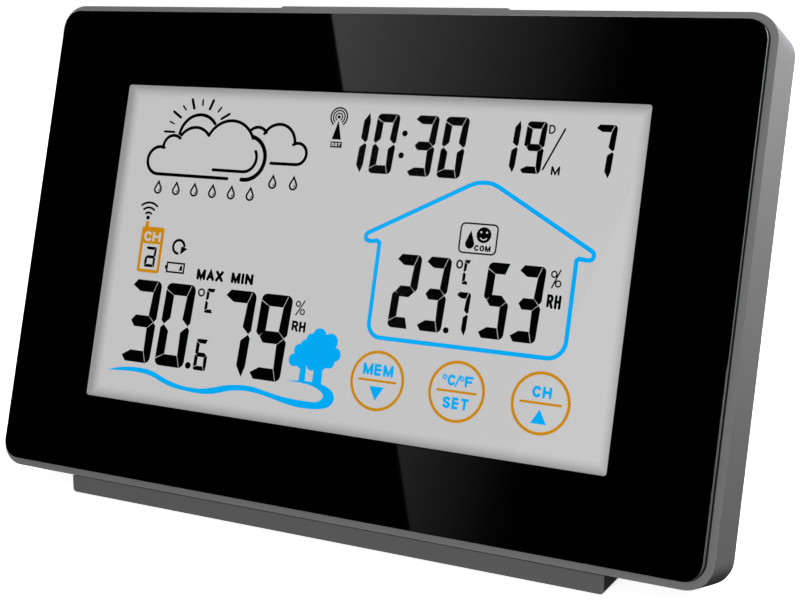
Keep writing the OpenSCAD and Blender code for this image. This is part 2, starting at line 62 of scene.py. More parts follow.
CAMERA_AZIMUTH = math.radians(27.664)
CAMERA_DROP = math.radians(11.978)
CAMERA_AWAY = 300.895 * MM
CAMERA_ASIDE = 11.466 * MM
CAMERA_BELOW = 7.810 * MM
CAMERA_LENS = 67.22

camera_right = Vector((math.cos(CAMERA_AZIMUTH), math.sin(CAMERA_AZIMUTH), 0))
camera_ahead = Vector((-math.sin(CAMERA_AZIMUTH) * math.cos(CAMERA_DROP),
                       math.cos(CAMERA_AZIMUTH) * math.cos(CAMERA_DROP),
                       -math.sin(CAMERA_DROP)))
camera_up = camera_right.cross(camera_ahead)
camera_at = (lens_middle + camera_right * CAMERA_ASIDE - camera_up * CAMERA_BELOW
             - camera_ahead * CAMERA_AWAY)

camera = bpy.data.objects.new("camera", bpy.data.cameras.new("camera"))
bpy.context.scene.collection.objects.link(camera)
camera.data.lens = CAMERA_LENS
camera.data.clip_start = 0.01
camera.matrix_world = (Matrix.Translation(camera_at)
                       @ Matrix((camera_right, camera_up, -camera_ahead)).transposed().to_4x4())
bpy.context.scene.camera = camera
bpy.context.scene.view_settings.view_transform = "Standard"

# ---------------------------------------------------------------- studio
# A pale floor, soft boxes above, in front, beside and behind, and a white surround that no
# shiny face mirrors. The glossy lens mirrors only one tall soft box.
FLOOR_RADIUS = 3.0
FLOOR_SIDES = 96


def linear(colour):
    """An sRGB hex colour as linear red, green, blue and alpha."""
    channels = [int(colour[at:at + 2], 16) / 255 for at in (1, 3, 5)]
    return [c / 12.92 if c <= 0.04045 else ((c + 0.055) / 1.055) ** 2.4 for c in channels] + [1]


def node(finish, kind, inputs=None, **settings):
    """Adds a node to a finish, with its settings, and its inputs as values or as links."""
    added = finish.node_tree.nodes.new(kind)
    for name, value in settings.items():
        setattr(added, name, value)
    for name, value in (inputs or {}).items():
        if isinstance(value, bpy.types.NodeSocket):
            finish.node_tree.links.new(value, added.inputs[name])
        else:
            added.inputs[name].default_value = value
    return added


def new_finish(name):
    """An empty node-based material."""
    finish = bpy.data.materials.new(name)
    finish.use_nodes = True
    finish.node_tree.nodes.clear()
    return finish


# Matt white studio vinyl: flat, with the faintest unevenness, and lit from below further out
studio_vinyl = new_finish("studio_vinyl")
vinyl_place = node(studio_vinyl, "ShaderNodeTexCoord")
vinyl_waves = node(studio_vinyl, "ShaderNodeTexNoise",
                   {"Vector": vinyl_place.outputs["Object"], "Scale": 6.0})
vinyl_tint = node(studio_vinyl, "ShaderNodeMix",
                  {"Factor": vinyl_waves.outputs["Fac"], "A": linear("#f4f4f4"),
                   "B": linear("#fafafa")}, data_type="RGBA")
vinyl_away = node(studio_vinyl, "ShaderNodeVectorMath",
                  {0: vinyl_place.outputs["Object"]}, operation="LENGTH")
vinyl_lit = node(studio_vinyl, "ShaderNodeMapRange",
                 {"Value": vinyl_away.outputs["Value"], "From Min": 0.2, "From Max": 0.9,
                  "To Min": 0.8, "To Max": 0.95})
vinyl_shader = node(studio_vinyl, "ShaderNodeBsdfPrincipled",
                    {"Base Color": vinyl_tint.outputs["Result"], "Roughness": 0.9,
                     "Specular IOR Level": 0.1, "Emission Color": linear("#ffffff"),
                     "Emission Strength": vinyl_lit.outputs["Result"]})
node(studio_vinyl, "ShaderNodeOutputMaterial", {"Surface": vinyl_shader.outputs["BSDF"]})

floor_shape = bmesh.new()
bmesh.ops.create_circle(floor_shape, cap_ends=True, radius=FLOOR_RADIUS,
                      segments=FLOOR_SIDES)
floor_mesh = bpy.data.meshes.new("floor")
floor_shape.to_mesh(floor_mesh)
floor_mesh.materials.append(studio_vinyl)
floor = bpy.data.objects.new("floor", floor_mesh)
bpy.context.scene.collection.objects.link(floor)
floor.visible_diffuse = False
floor.visible_glossy = False

surround = bpy.data.worlds.new("surround")
surround.use_nodes = True
surround.node_tree.nodes.clear()
surround_seen = node(surround, "ShaderNodeBackground",
                     {"Color": linear("#ffffff"), "Strength": 1.05})
surround_place = node(surround, "ShaderNodeTexCoord")
surround_axes = node(surround, "ShaderNodeSeparateXYZ", {0: surround_place.outputs["Generated"]})
surround_level = node(surround, "ShaderNodeMapRange",
                      {"Value": surround_axes.outputs["Z"], "From Min": -0.4, "From Max": 0.5,
                       "To Min": 0.1, "To Max": 0.5})
surround_light = node(surround, "ShaderNodeBackground",
                      {"Color": linear("#ffffff"), "Strength": surround_level.outputs["Result"]})
surround_mirrored = node(surround, "ShaderNodeBackground",
                         {"Color": linear("#ffffff"), "Strength": 0.0})
surround_ray = node(surround, "ShaderNodeLightPath")
surround_soft = node(surround, "ShaderNodeMixShader", {0: surround_ray.outputs["Is Glossy Ray"],
                                                       1: surround_light.outputs[0],
                                                       2: surround_mirrored.outputs[0]})
surround_all = node(surround, "ShaderNodeMixShader", {0: surround_ray.outputs["Is Camera Ray"],
                                                      1: surround_soft.outputs[0],
                                                      2: surround_seen.outputs[0]})
node(surround, "ShaderNodeOutputWorld", {"Surface": surround_all.outputs[0]})
bpy.context.scene.world = surround


def soft_box(name, place, size, power):
    """A square area light that faces the station."""
    light = bpy.data.objects.new(name, bpy.data.lights.new(name, "AREA"))
    light.data.size = size
    light.data.energy = power
    light.location = place
    light.rotation_euler = (lens_middle - Vector(place)).to_track_quat("-Z", "Y").to_euler()
    bpy.context.scene.collection.objects.link(light)


soft_box("light_above", (-0.1, 0.1, 1.5), 0.8, 3.4)
soft_box("light_in_front", (0.12, -1.1, 0.24), 0.3, 7.4)
soft_box("light_beside", (0.18, 0.04, 0.17), 0.08, 0.42)
soft_box("light_behind", (-0.3, 1.2, 1.0), 0.8, 16.0)

# The tall soft box seen in the lens: its left side is a clean edge and its right side fades out.
# Its corners are where the camera would see them mirrored at these places on the lens.
GLOW_LEFT = (6.1, -0.325)
GLOW_RIGHT = (61.5, -0.13)
GLOW_TALL = 62.0
GLOW_AWAY = 0.55
GLOW_START = -9.8
GLOW_SPAN = 65.0
GLOW_FALL = 1.25
GLOW_ROWS = 13
GLOW_COLUMNS = 25
GLOW_LEVEL_UP = 46.0
GLOW_STRENGTH = 1.16


def mirrored(across, up):
    """Where a line of sight ends after the lens has mirrored it at this place, in mm on the lens."""
    touch = on_case @ Vector((across * MM, 0, up * MM))
    sight = (touch - camera_at).normalized()
    return touch + (sight - 2 * sight.dot(inward) * inward) * GLOW_AWAY


glow_shape = bmesh.new()
glow_layer = glow_shape.verts.layers.float.new("glow")
glow_rows = []
for row in range(GLOW_ROWS):
    up = GLOW_TALL * (1 - 2 * row / (GLOW_ROWS - 1))
    left = GLOW_LEFT[0] + GLOW_LEFT[1] * up
    right = GLOW_RIGHT[0] + GLOW_RIGHT[1] * up
    glow_rows.append([])
    for column in range(GLOW_COLUMNS):
        across = left + (right - left) * column / (GLOW_COLUMNS - 1)
        corner = glow_shape.verts.new(mirrored(across, up))
        beside = across + GLOW_RIGHT[1] * (up - GLOW_LEVEL_UP)
        level = (beside - GLOW_START) / GLOW_SPAN
        corner[glow_layer] = max(0, 1 - max(0, level)) ** GLOW_FALL
        glow_rows[-1].append(corner)
for upper, lower in zip(glow_rows, glow_rows[1:]):
    for column in range(GLOW_COLUMNS - 1):
        glow_shape.faces.new((upper[column], upper[column + 1],
                              lower[column + 1], lower[column]))
glow_mesh = bpy.data.meshes.new("tall_soft_box")
glow_shape.to_mesh(glow_mesh)

# Lit diffuser cloth: brightest along the clean edge
lit_cloth = new_finish("lit_cloth")
cloth_level = node(lit_cloth, "ShaderNodeAttribute", attribute_name="glow")
cloth_light = node(lit_cloth, "ShaderNodeMath",
                   {0: cloth_level.outputs["Fac"], 1: GLOW_STRENGTH}, operation="MULTIPLY")
cloth_shader = node(lit_cloth, "ShaderNodeEmission",
                    {"Color": linear("#ffffff"), "Strength": cloth_light.outputs[0]})
node(lit_cloth, "ShaderNodeOutputMaterial", {"Surface": cloth_shader.outputs[0]})
glow_mesh.materials.append(lit_cloth)
tall_soft_box = bpy.data.objects.new("tall_soft_box", glow_mesh)
tall_soft_box.visible_camera = False
tall_soft_box.visible_shadow = False
tall_soft_box.visible_diffuse = False
bpy.context.scene.collection.objects.link(tall_soft_box)

# ---------------------------------------------------------------- front frame
# The case's moulded front half: a rim round the lens, the side walls and the posts inside.
# Injection-moulded grey ABS from a spark-eroded tool, with small radii along its edges.
MOULD_EDGE = 0.25 * MM
SHARP_ANGLE = math.radians(32)
CURVE_ANGLE = math.radians(50)
TIGHT_BEND = 1.5 * MM


def edged(node_name, radius, rounds=2):
    """A CAD node's solid with its sharp edges rounded as a mould leaves them.

    The short edges that make up a tight curve, such as a small hole's rim, stay as they are.
    """
    shape = bmesh.new()
    shape.from_mesh(frame["nodes"][node_name].data)
    bmesh.ops.remove_doubles(shape, verts=shape.verts, dist=0.002 * MM)
    bmesh.ops.dissolve_limit(shape, angle_limit=math.radians(0.6), verts=shape.verts,
                             edges=shape.edges)
    sharp = {edge for edge in shape.edges
             if len(edge.link_faces) == 2 and edge.calc_face_angle(0) > SHARP_ANGLE}
    chosen = []
    for edge in sharp:
        bend = 0
        for corner in edge.verts:
            ahead = (corner.co - edge.other_vert(corner).co).normalized()
            for other in corner.link_edges:
                if other is not edge and other in sharp:
                    turn = ahead.angle((other.other_vert(corner).co - corner.co).normalized(), 0)
                    if turn < CURVE_ANGLE:
                        bend = max(bend, turn / edge.calc_length())
        if edge.calc_length() > 2 * radius or bend * TIGHT_BEND < 1:
            chosen.append(edge)
    bmesh.ops.bevel(shape, geom=chosen, offset=radius, offset_type="OFFSET", segments=rounds,
                    profile=0.5, affect="EDGES", clamp_overlap=True)
    return made_piece(node_name + "_moulded", shape)


def made_piece(name, shape, smooth_angle=38):
    """Turns a finished shape into a piece whose curves are shaded soft and whose flats stay flat."""
    mesh = bpy.data.meshes.new(name)
    shape.to_mesh(mesh)
    mesh.shade_smooth()
    mesh.set_sharp_from_angle(angle=math.radians(smooth_angle))
    piece = bpy.data.objects.new(name, mesh)
    piece.modifiers.new("flat_faces", "WEIGHTED_NORMAL").keep_sharp = True
    bpy.context.scene.collection.objects.link(piece)
    return piece


def fit(piece, finish, body, slot, *stands_for):
    """Gives a piece its finish, fixes it to its CAD body and hides the CAD nodes it stands for."""
    for layer in finish if isinstance(finish, list) else [finish]:
        piece.data.materials.append(layer)
    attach(piece, body)
    if stands_for:
        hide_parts(*stands_for)
    return piece


def moulded_abs(name, dark, light, grain_mm, depth_mm):
    """ABS from a spark-eroded tool: a dull fine grain that catches the light softly."""
    finish = new_finish(name)
    place = node(finish, "ShaderNodeTexCoord")
    grain = node(finish, "ShaderNodeTexNoise",
                 {"Vector": place.outputs["Object"], "Scale": 1 / (grain_mm * MM),
                  "Detail": 3.0, "Roughness": 0.6})
    flow = node(finish, "ShaderNodeTexNoise",
                {"Vector": place.outputs["Object"], "Scale": 1 / (14 * MM), "Detail": 2.0})
    tint = node(finish, "ShaderNodeMix",
                {"Factor": flow.outputs["Fac"], "A": linear(dark), "B": linear(light)},
                data_type="RGBA")
    dull = node(finish, "ShaderNodeMapRange",
                {"Value": grain.outputs["Fac"], "From Min": 0.3, "From Max": 0.7,
                 "To Min": 0.58, "To Max": 0.74})
    pits = node(finish, "ShaderNodeBump",
                {"Height": grain.outputs["Fac"], "Strength": 0.5, "Distance": depth_mm * MM})
    shader = node(finish, "ShaderNodeBsdfPrincipled",
                  {"Base Color": tint.outputs["Result"], "Roughness": dull.outputs["Result"],
                   "IOR": 1.53, "Specular IOR Level": 0.35, "Normal": pits.outputs["Normal"]})
    node(finish, "ShaderNodeOutputMaterial", {"Surface": shader.outputs["BSDF"]})
    return finish


# Grey ABS: the grain is about 0.2 mm on the tool, drawn at 0.3 mm so that it shows
grey_abs = moulded_abs("grey_abs_spark_eroded", "#6a6a6b", "#707071", 0.3, 0.02)
fit(edged("front_frame", MOULD_EDGE), grey_abs, "case", "frame_abs", "front_frame")

# ---------------------------------------------------------------- lens tape
# A closed frame of double-sided tape, cut a little larger than the lens, that glues the lens to
# the rim. Black acrylic foam: it shows as a thin dark line round the lens.
foam_tape = new_finish("black_foam_tape")
tape_place = node(foam_tape, "ShaderNodeTexCoord")
tape_cells = node(foam_tape, "ShaderNodeTexVoronoi",
                  {"Vector": tape_place.outputs["Object"], "Scale": 1 / (0.25 * MM)})
tape_tint = node(foam_tape, "ShaderNodeMix",
                 {"Factor": tape_cells.outputs["Distance"], "A": linear("#060606"),
                  "B": linear("#141414")}, data_type="RGBA")
tape_bump = node(foam_tape, "ShaderNodeBump",
                 {"Height": tape_cells.outputs["Distance"], "Strength": 0.4,
                  "Distance": 0.03 * MM})
tape_shader = node(foam_tape, "ShaderNodeBsdfPrincipled",
                   {"Base Color": tape_tint.outputs["Result"], "Roughness": 0.85,
                    "Normal": tape_bump.outputs["Normal"]})
node(foam_tape, "ShaderNodeOutputMaterial", {"Surface": tape_shader.outputs["BSDF"]})


def coat(node_name, finish):
    """Gives a CAD node that keeps its own shape its finish."""
    materials = frame["nodes"][node_name].data.materials
    materials.clear()
    materials.append(finish)


coat("lens_tape", foam_tape)

# ---------------------------------------------------------------- front lens
# A cut sheet of clear acrylic, printed gloss black but for the display's window, with the
# front of its edge polished. It covers the whole front, and the touch keys work through it.
PANE_WIDTH = 121.4
PANE_HEIGHT = 69.4
PANE_CORNER = 0.8
LENS_CORNER = 3.9
LENS_EDGE = 0.1
EDGE_CLEAR = 0.85
WINDOW_WIDTH = 120.2
WINDOW_HEIGHT = 69.0
WINDOW_CORNER = 0.6
PRINT_DEPTH = 0.9
PRINT_THICK = 0.1
PRINT_LAP = 0.6


def case_box(node_name):
    """Lowest and highest corner of a CAD node along the case's own axes, in metres."""
    to_case = on_case.inverted()
    points = [to_case @ vertex.co for vertex in frame["nodes"][node_name].data.vertices]
    low = Vector(min(point[axis] for point in points) for axis in range(3))
    high = Vector(max(point[axis] for point in points) for axis in range(3))
    return low, high


def rounded(width, height, radius, steps=10):
    """Corner points of an upright rectangle with round corners, anticlockwise, in mm."""
    points = []
    for turn, side, rise in ((0, 1, 1), (90, -1, 1), (180, -1, -1), (270, 1, -1)):
        for step in range(steps + 1):
            angle = math.radians(turn + 90 * step / steps)
            points.append((side * (width / 2 - radius) + radius * math.cos(angle),
                           rise * (height / 2 - radius) + radius * math.sin(angle)))
    return points


def ring_at(shape, outline, depth):
    """A ring of corners at one depth behind the lens's front face."""
    return [shape.verts.new((across * MM, depth * MM, up * MM)) for across, up in outline]


def join_rings(shape, first, second, material=0):
    """A band of faces between two rings with as many corners."""
    for at in range(len(first)):
        after = (at + 1) % len(first)
        face = shape.faces.new((first[at], first[after], second[after], second[at]))
        face.material_index = material


def case_piece(name, shape, place=None):
    """Turns a shape drawn along the case's own axes into a piece where the case holds it."""
    bmesh.ops.recalc_face_normals(shape, faces=shape.faces)
    shape.transform(on_case @ (place or Matrix.Identity(4)))
    return made_piece(name, shape)


def cast_acrylic(name, cover):
    """Acrylic sheet with a wet shine. cover is how much of what lies behind it is hidden."""
    finish = new_finish(name)
    place = node(finish, "ShaderNodeTexCoord")
    waves = node(finish, "ShaderNodeTexNoise",
                 {"Vector": place.outputs["Object"], "Scale": 1 / (30 * MM)})
    dull = node(finish, "ShaderNodeMapRange",
                {"Value": waves.outputs["Fac"], "To Min": 0.012, "To Max": 0.03})
    shader = node(finish, "ShaderNodeBsdfPrincipled",
                  {"Base Color": linear("#010101"), "Roughness": dull.outputs["Result"],
                   "IOR": 1.49, "Alpha": cover})
    node(finish, "ShaderNodeOutputMaterial", {"Surface": shader.outputs["BSDF"]})
    return finish


# Printed behind: deep black under the shine. Clear: seen only by what it mirrors.
black_acrylic = cast_acrylic("acrylic_printed_gloss_black", 1.0)
clear_acrylic = cast_acrylic("clear_acrylic", 0.05)

# Flame-polished acrylic edge: its pale grey colour is a painted highlight standing in for the light
# the clear edge gathers; it shows as a thin pale line
edge_painted_highlight = new_finish("acrylic_edge_painted_highlight")
edge_place = node(edge_painted_highlight, "ShaderNodeTexCoord")
edge_waves = node(edge_painted_highlight, "ShaderNodeTexNoise",
                  {"Vector": edge_place.outputs["Object"], "Scale": 1 / (3 * MM)})
edge_highlight_tint = node(edge_painted_highlight, "ShaderNodeMix",
                 {"Factor": edge_waves.outputs["Fac"], "A": linear("#5c5e60"),
                  "B": linear("#666869")}, data_type="RGBA")
edge_shader = node(edge_painted_highlight, "ShaderNodeBsdfPrincipled",
                   {"Base Color": edge_highlight_tint.outputs["Result"], "Roughness": 0.12, "IOR": 1.49})
node(edge_painted_highlight, "ShaderNodeOutputMaterial", {"Surface": edge_shader.outputs["BSDF"]})

# Back of the edge drawn matt black: painted shadow standing in for the dark gap between the lens and
# the rim; it gives nothing back
painted_gap_shadow = new_finish("lens_edge_painted_gap_shadow")
gap_shadow_place = node(painted_gap_shadow, "ShaderNodeTexCoord")
gap_shadow_specks = node(painted_gap_shadow, "ShaderNodeTexNoise",
                    {"Vector": gap_shadow_place.outputs["Object"], "Scale": 1 / (0.2 * MM)})
gap_shadow_dull = node(painted_gap_shadow, "ShaderNodeMapRange",
                  {"Value": gap_shadow_specks.outputs["Fac"], "To Min": 0.75, "To Max": 0.95})
gap_shadow_shader = node(painted_gap_shadow, "ShaderNodeBsdfPrincipled",
                    {"Base Color": linear("#030303"), "Roughness": gap_shadow_dull.outputs["Result"],
                     "Specular IOR Level": 0.1})
node(painted_gap_shadow, "ShaderNodeOutputMaterial", {"Surface": gap_shadow_shader.outputs["BSDF"]})

lens_low, lens_high = case_box("front_lens")
lens_width = (lens_high.x - lens_low.x) / MM
lens_height = (lens_high.z - lens_low.z) / MM
lens_thick = (lens_high.y - lens_low.y) / MM
lens_shape = bmesh.new()
pane_outline = rounded(PANE_WIDTH, PANE_HEIGHT, PANE_CORNER)
lens_outline = rounded(lens_width, lens_height, LENS_CORNER)
pane_front = ring_at(lens_shape, pane_outline, 0)
lens_shape.faces.new(pane_front).material_index = 1
previous = pane_front
for step in range(4):
    angle = math.radians(30 * step)
    inset = LENS_EDGE * (1 - math.sin(angle))
    eased = rounded(lens_width - 2 * inset, lens_height - 2 * inset, LENS_CORNER - inset)
    around = ring_at(lens_shape, eased, LENS_EDGE * (1 - math.cos(angle)))
    join_rings(lens_shape, previous, around)
    previous = around
# The edge's front band takes the painted highlight and its back band the painted gap shadow.
for depth, material in ((EDGE_CLEAR, 2), (lens_thick, 3)):
    around = ring_at(lens_shape, lens_outline, depth)
    join_rings(lens_shape, previous, around, material)
    previous = around
pane_back = ring_at(lens_shape, pane_outline, lens_thick)
join_rings(lens_shape, previous, pane_back)
lens_shape.faces.new(pane_back).material_index = 1
fit(case_piece("front_lens_printed", lens_shape),
    [black_acrylic, clear_acrylic, edge_painted_highlight, painted_gap_shadow], "case", "lens", "front_lens")

window_shape = bmesh.new()
window_rings = []
for outline in (rounded(WINDOW_WIDTH, WINDOW_HEIGHT, WINDOW_CORNER),
                rounded(PANE_WIDTH + 2 * PRINT_LAP, PANE_HEIGHT + 2 * PRINT_LAP,
                        PANE_CORNER + PRINT_LAP)):
    for depth in (PRINT_DEPTH, PRINT_DEPTH + PRINT_THICK):
        window_rings.append(ring_at(window_shape, outline, depth))
for first, second in ((0, 1), (1, 3), (3, 2), (2, 0)):
    join_rings(window_shape, window_rings[first], window_rings[second])
fit(case_piece("window_print", window_shape), black_acrylic, "case", "lens")

# ---------------------------------------------------------------- touch film
# Clear polyester film with invisible touch pads, glued behind the lens, and its folded tail.
# Hard-coated and see-through: it only adds a breath of shine.
touch_polyester = new_finish("hard_coated_polyester")
film_place = node(touch_polyester, "ShaderNodeTexCoord")
film_waves = node(touch_polyester, "ShaderNodeTexNoise",
                  {"Vector": film_place.outputs["Object"], "Scale": 1 / (8 * MM)})
film_dull = node(touch_polyester, "ShaderNodeMapRange",
                 {"Value": film_waves.outputs["Fac"], "To Min": 0.05, "To Max": 0.09})
film_shader = node(touch_polyester, "ShaderNodeBsdfPrincipled",
                   {"Base Color": linear("#020202"), "Roughness": film_dull.outputs["Result"],
                    "IOR": 1.6, "Alpha": 0.01})
node(touch_polyester, "ShaderNodeOutputMaterial", {"Surface": film_shader.outputs["BSDF"]})
coat("touch_film", touch_polyester)

# ---------------------------------------------------------------- display glass
# Two sheets of glass with liquid crystal between them, under a grey polariser and lit evenly
# from behind. A narrow strip along the printed window's edges is painted darker: painted shade
# for the window's shadow.
GLASS_EDGE = 0.15
GLASS_CORNER = 0.4
REAR_SHORTER = 4.6
SHADE_WIDTH = 2.4

polariser = new_finish("display_glass_under_grey_polariser")
glass_place = node(polariser, "ShaderNodeTexCoord")
glass_upright = node(polariser, "ShaderNodeMapping",
                     {"Vector": glass_place.outputs["Object"], "Rotation": (lean, 0, 0),
                      "Location": on_case.inverted().translation})
glass_axes = node(polariser, "ShaderNodeSeparateXYZ", {0: glass_upright.outputs["Vector"]})
glass_across = node(polariser, "ShaderNodeMath",
                    {0: glass_axes.outputs["X"]}, operation="ABSOLUTE")
glass_up = node(polariser, "ShaderNodeMath",
                {0: glass_axes.outputs["Z"]}, operation="ABSOLUTE")
from_side = node(polariser, "ShaderNodeMath",
                 {0: WINDOW_WIDTH / 2 * MM, 1: glass_across.outputs[0]}, operation="SUBTRACT")
from_top = node(polariser, "ShaderNodeMath",
                {0: WINDOW_HEIGHT / 2 * MM, 1: glass_up.outputs[0]}, operation="SUBTRACT")
from_edge = node(polariser, "ShaderNodeMath",
                 {0: from_side.outputs[0], 1: from_top.outputs[0]}, operation="MINIMUM")
edge_share = node(polariser, "ShaderNodeMath",
                  {0: from_edge.outputs[0], 1: SHADE_WIDTH * MM}, operation="DIVIDE")
# Painted shade: the glow is darker within SHADE_WIDTH of the window's edges.
painted_edge_shade = node(polariser, "ShaderNodeValToRGB", {0: edge_share.outputs[0]})
shade_stops = ((0.0, "#969696"), (0.12, "#9a9a9a"), (0.32, "#a7a7a7"), (0.52, "#b1b1b1"),
               (0.75, "#bbbbbb"), (1.0, "#c2c2c2"))
while len(painted_edge_shade.color_ramp.elements) < len(shade_stops):
    painted_edge_shade.color_ramp.elements.new(0.5)
for stop, (share, grey) in zip(painted_edge_shade.color_ramp.elements, shade_stops):
    stop.position = share
    stop.color = linear(grey)
glass_shader = node(polariser, "ShaderNodeBsdfPrincipled",
                    {"Base Color": linear("#202020"), "Roughness": 0.35, "IOR": 1.5,
                     "Emission Color": painted_edge_shade.outputs["Color"], "Emission Strength": 1.1})
node(polariser, "ShaderNodeOutputMaterial", {"Surface": glass_shader.outputs["BSDF"]})

glass_low, glass_high = case_box("lcd_glass")
sheet_thick = (glass_high.y - glass_low.y) / 2 / MM
sheet_wide = (glass_high.x - glass_low.x) / MM
front_tall = (glass_high.z - glass_low.z) / MM
rear_tall = front_tall - REAR_SHORTER
glass_shape = bmesh.new()
for front, tall in ((glass_low.y / MM, front_tall), (glass_low.y / MM + sheet_thick, rear_tall)):
    rings = []
    for inset, depth in ((GLASS_EDGE, 0), (0, GLASS_EDGE), (0, sheet_thick - GLASS_EDGE),
                         (GLASS_EDGE, sheet_thick)):
        outline = rounded(sheet_wide - 2 * inset, tall - 2 * inset, GLASS_CORNER)
        rings.append(ring_at(glass_shape, outline, front + depth))
    for first, second in zip(rings, rings[1:]):
        join_rings(glass_shape, first, second)
    glass_shape.faces.new(rings[0])
    glass_shape.faces.new(rings[-1])
fit(case_piece("display_glass", glass_shape), polariser, "case", "lcd", "lcd_glass")

# ---------------------------------------------------------------- segments of the display
# Liquid crystal segments, dark where they are switched on, between hairline gaps.
# They lie at the front of the glass, so each group is a hair-thin raised shape.
SEGMENT_BACK = glass_low.y / MM - 0.02
SEGMENT_THICK = 0.03
SEGMENT_GAP = 0.13
LIT_BARS = {"0": "abcdef", "1": "bc", "2": "abged", "3": "abgcd", "5": "afgcd", "6": "acdefg",
            "7": "abc", "9": "abcdfg", "C": "adef", "a": "abcdeg"}


def fill(sheet, outline):
    """Adds one flat filled outline, in mm on the display, to a sheet of segments."""
    sheet.faces.new([sheet.verts.new((across * MM, SEGMENT_BACK * MM, up * MM))
                     for across, up in outline])


def arc(middle, radius, start, end):
    """Points along an arc from one angle to another, in degrees anticlockwise from the right."""
    steps = max(3, int(abs(end - start) / 360 * (16 + 5 * radius)))
    return [(middle[0] + radius * math.cos(math.radians(start + (end - start) * step / steps)),
             middle[1] + radius * math.sin(math.radians(start + (end - start) * step / steps)))
            for step in range(steps + 1)]


def line(sheet, points, width, closed=False, flat_ends=False):
    """Adds a line of one width through the points, with round ends unless told otherwise."""
    path = [Vector(point) for point in points]
    if closed and (path[0] - path[-1]).length < 0.001:
        path.pop()
    left, right = [], []
    for at, point in enumerate(path):
        last = len(path) - 1
        before = path[at - 1] if at or closed else 2 * point - path[1]
        after = path[(at + 1) % len(path)] if at < last or closed else 2 * point - path[at - 1]
        into, out = (point - before).normalized(), (after - point).normalized()
        along = (into + out).normalized()
        across = Vector((-along.y, along.x))
        reach = width / 2 / max(0.5, across.dot(Vector((-out.y, out.x))))
        left.append(point + across * reach)
        right.append(point - across * reach)
    sides = [[sheet.verts.new((spot.x * MM, SEGMENT_BACK * MM, spot.y * MM)) for spot in side]
             for side in (left, right)]
    for at in range(len(path) if closed else len(path) - 1):
        after = (at + 1) % len(path)
        sheet.faces.new((sides[0][at], sides[0][after], sides[1][after], sides[1][at]))
    if not closed and not flat_ends:
        for end, next_one in ((0, 1), (-1, -2)):
            turn = math.degrees(math.atan2(*(path[end] - path[next_one]).yx))
            cap = [sheet.verts.new((spot[0] * MM, SEGMENT_BACK * MM, spot[1] * MM))
                   for spot in arc(path[end], width / 2, turn - 90, turn + 90)[1:-1]]
            if end:
                sheet.faces.new([sides[1][end]] + cap + [sides[0][end]])
            else:
                sheet.faces.new([sides[0][end]] + cap + [sides[1][end]])


def digit(sheet, figure, right, foot, height, width, bars, slant):
    """Adds a seven-bar figure.

    right is its right side at the top, bars the widths of its flat and its upright bars, and
    slant how far it leans for each mm of height.
    """
    flat, upright = bars
    middle, gap = height / 2, min(SEGMENT_GAP, flat / 7)
    lit = LIT_BARS[figure]
    round_corner = 0.62 * upright

    def corner(side, rise):
        """The rounded outer corner, from the upright side to the flat one."""
        points = []
        for step in range(5):
            angle = math.radians(22.5 * step)
            across = round_corner * (1 - math.cos(angle))
            up = round_corner * (1 - math.sin(angle))
            points.append((across if side < 0 else width - across,
                           up if rise < 0 else height - up))
        return points

    shapes = {}
    for name, column, rise in (("a", "f", 1), ("d", "e", -1)):
        edge, inner = (height, height - flat) if rise > 0 else (0, flat)
        tip = [(0, edge - rise * 0.5 * flat), (0.48 * upright, edge)]
        if column in lit:
            tip = [(0, edge - rise * 0.52 * flat)] + corner(-1, rise)
        shapes[name] = ([(0.95 * upright, inner)] + tip
                        + [(width - 0.5 * upright - gap / 2, edge),
                           (width - 0.92 * upright - gap / 2, inner)])
    for name, row, rise in (("b", "a", 1), ("c", "d", -1)):
        edge, inner = (height, height - flat) if rise > 0 else (0, flat)
        if row in lit:
            end = [(width - 0.92 * upright + gap / 2, inner),
                   (width - 0.5 * upright + gap / 2, edge)] + corner(1, rise)[::-1]
        else:
            end = [(width - upright, edge - rise * 0.9 * flat), (width - 0.3 * upright, edge),
                   (width, edge - rise * 0.9 * flat)]
        shapes[name] = end + [(width, middle + rise * 0.3 * flat),
                              (width - 0.28 * upright, middle + rise * gap / 2),
                              (width - upright, middle + rise * 0.55 * flat)]
    for name, rise in (("f", 1), ("e", -1)):
        edge = height if rise > 0 else 0
        shapes[name] = [(0, edge - rise * (0.55 * flat + gap)),
                        (upright, edge - rise * (flat + gap)),
                        (upright, middle + rise * (0.52 * flat + gap / 2)),
                        (0.36 * upright, middle + rise * gap / 2),
                        (0, middle + rise * 0.3 * flat)]
    shapes["g"] = [(0.42 * upright, middle), (0.9 * upright, middle + 0.5 * flat),
                   (width - 0.98 * upright, middle + 0.5 * flat),
                   (width - 0.34 * upright, middle),
                   (width - 0.98 * upright, middle - 0.5 * flat),
                   (0.9 * upright, middle - 0.5 * flat)]
    for name in LIT_BARS[figure]:
        fill(sheet, [(right - width + across + slant * (up - height), foot + up)
                     for across, up in shapes[name]])


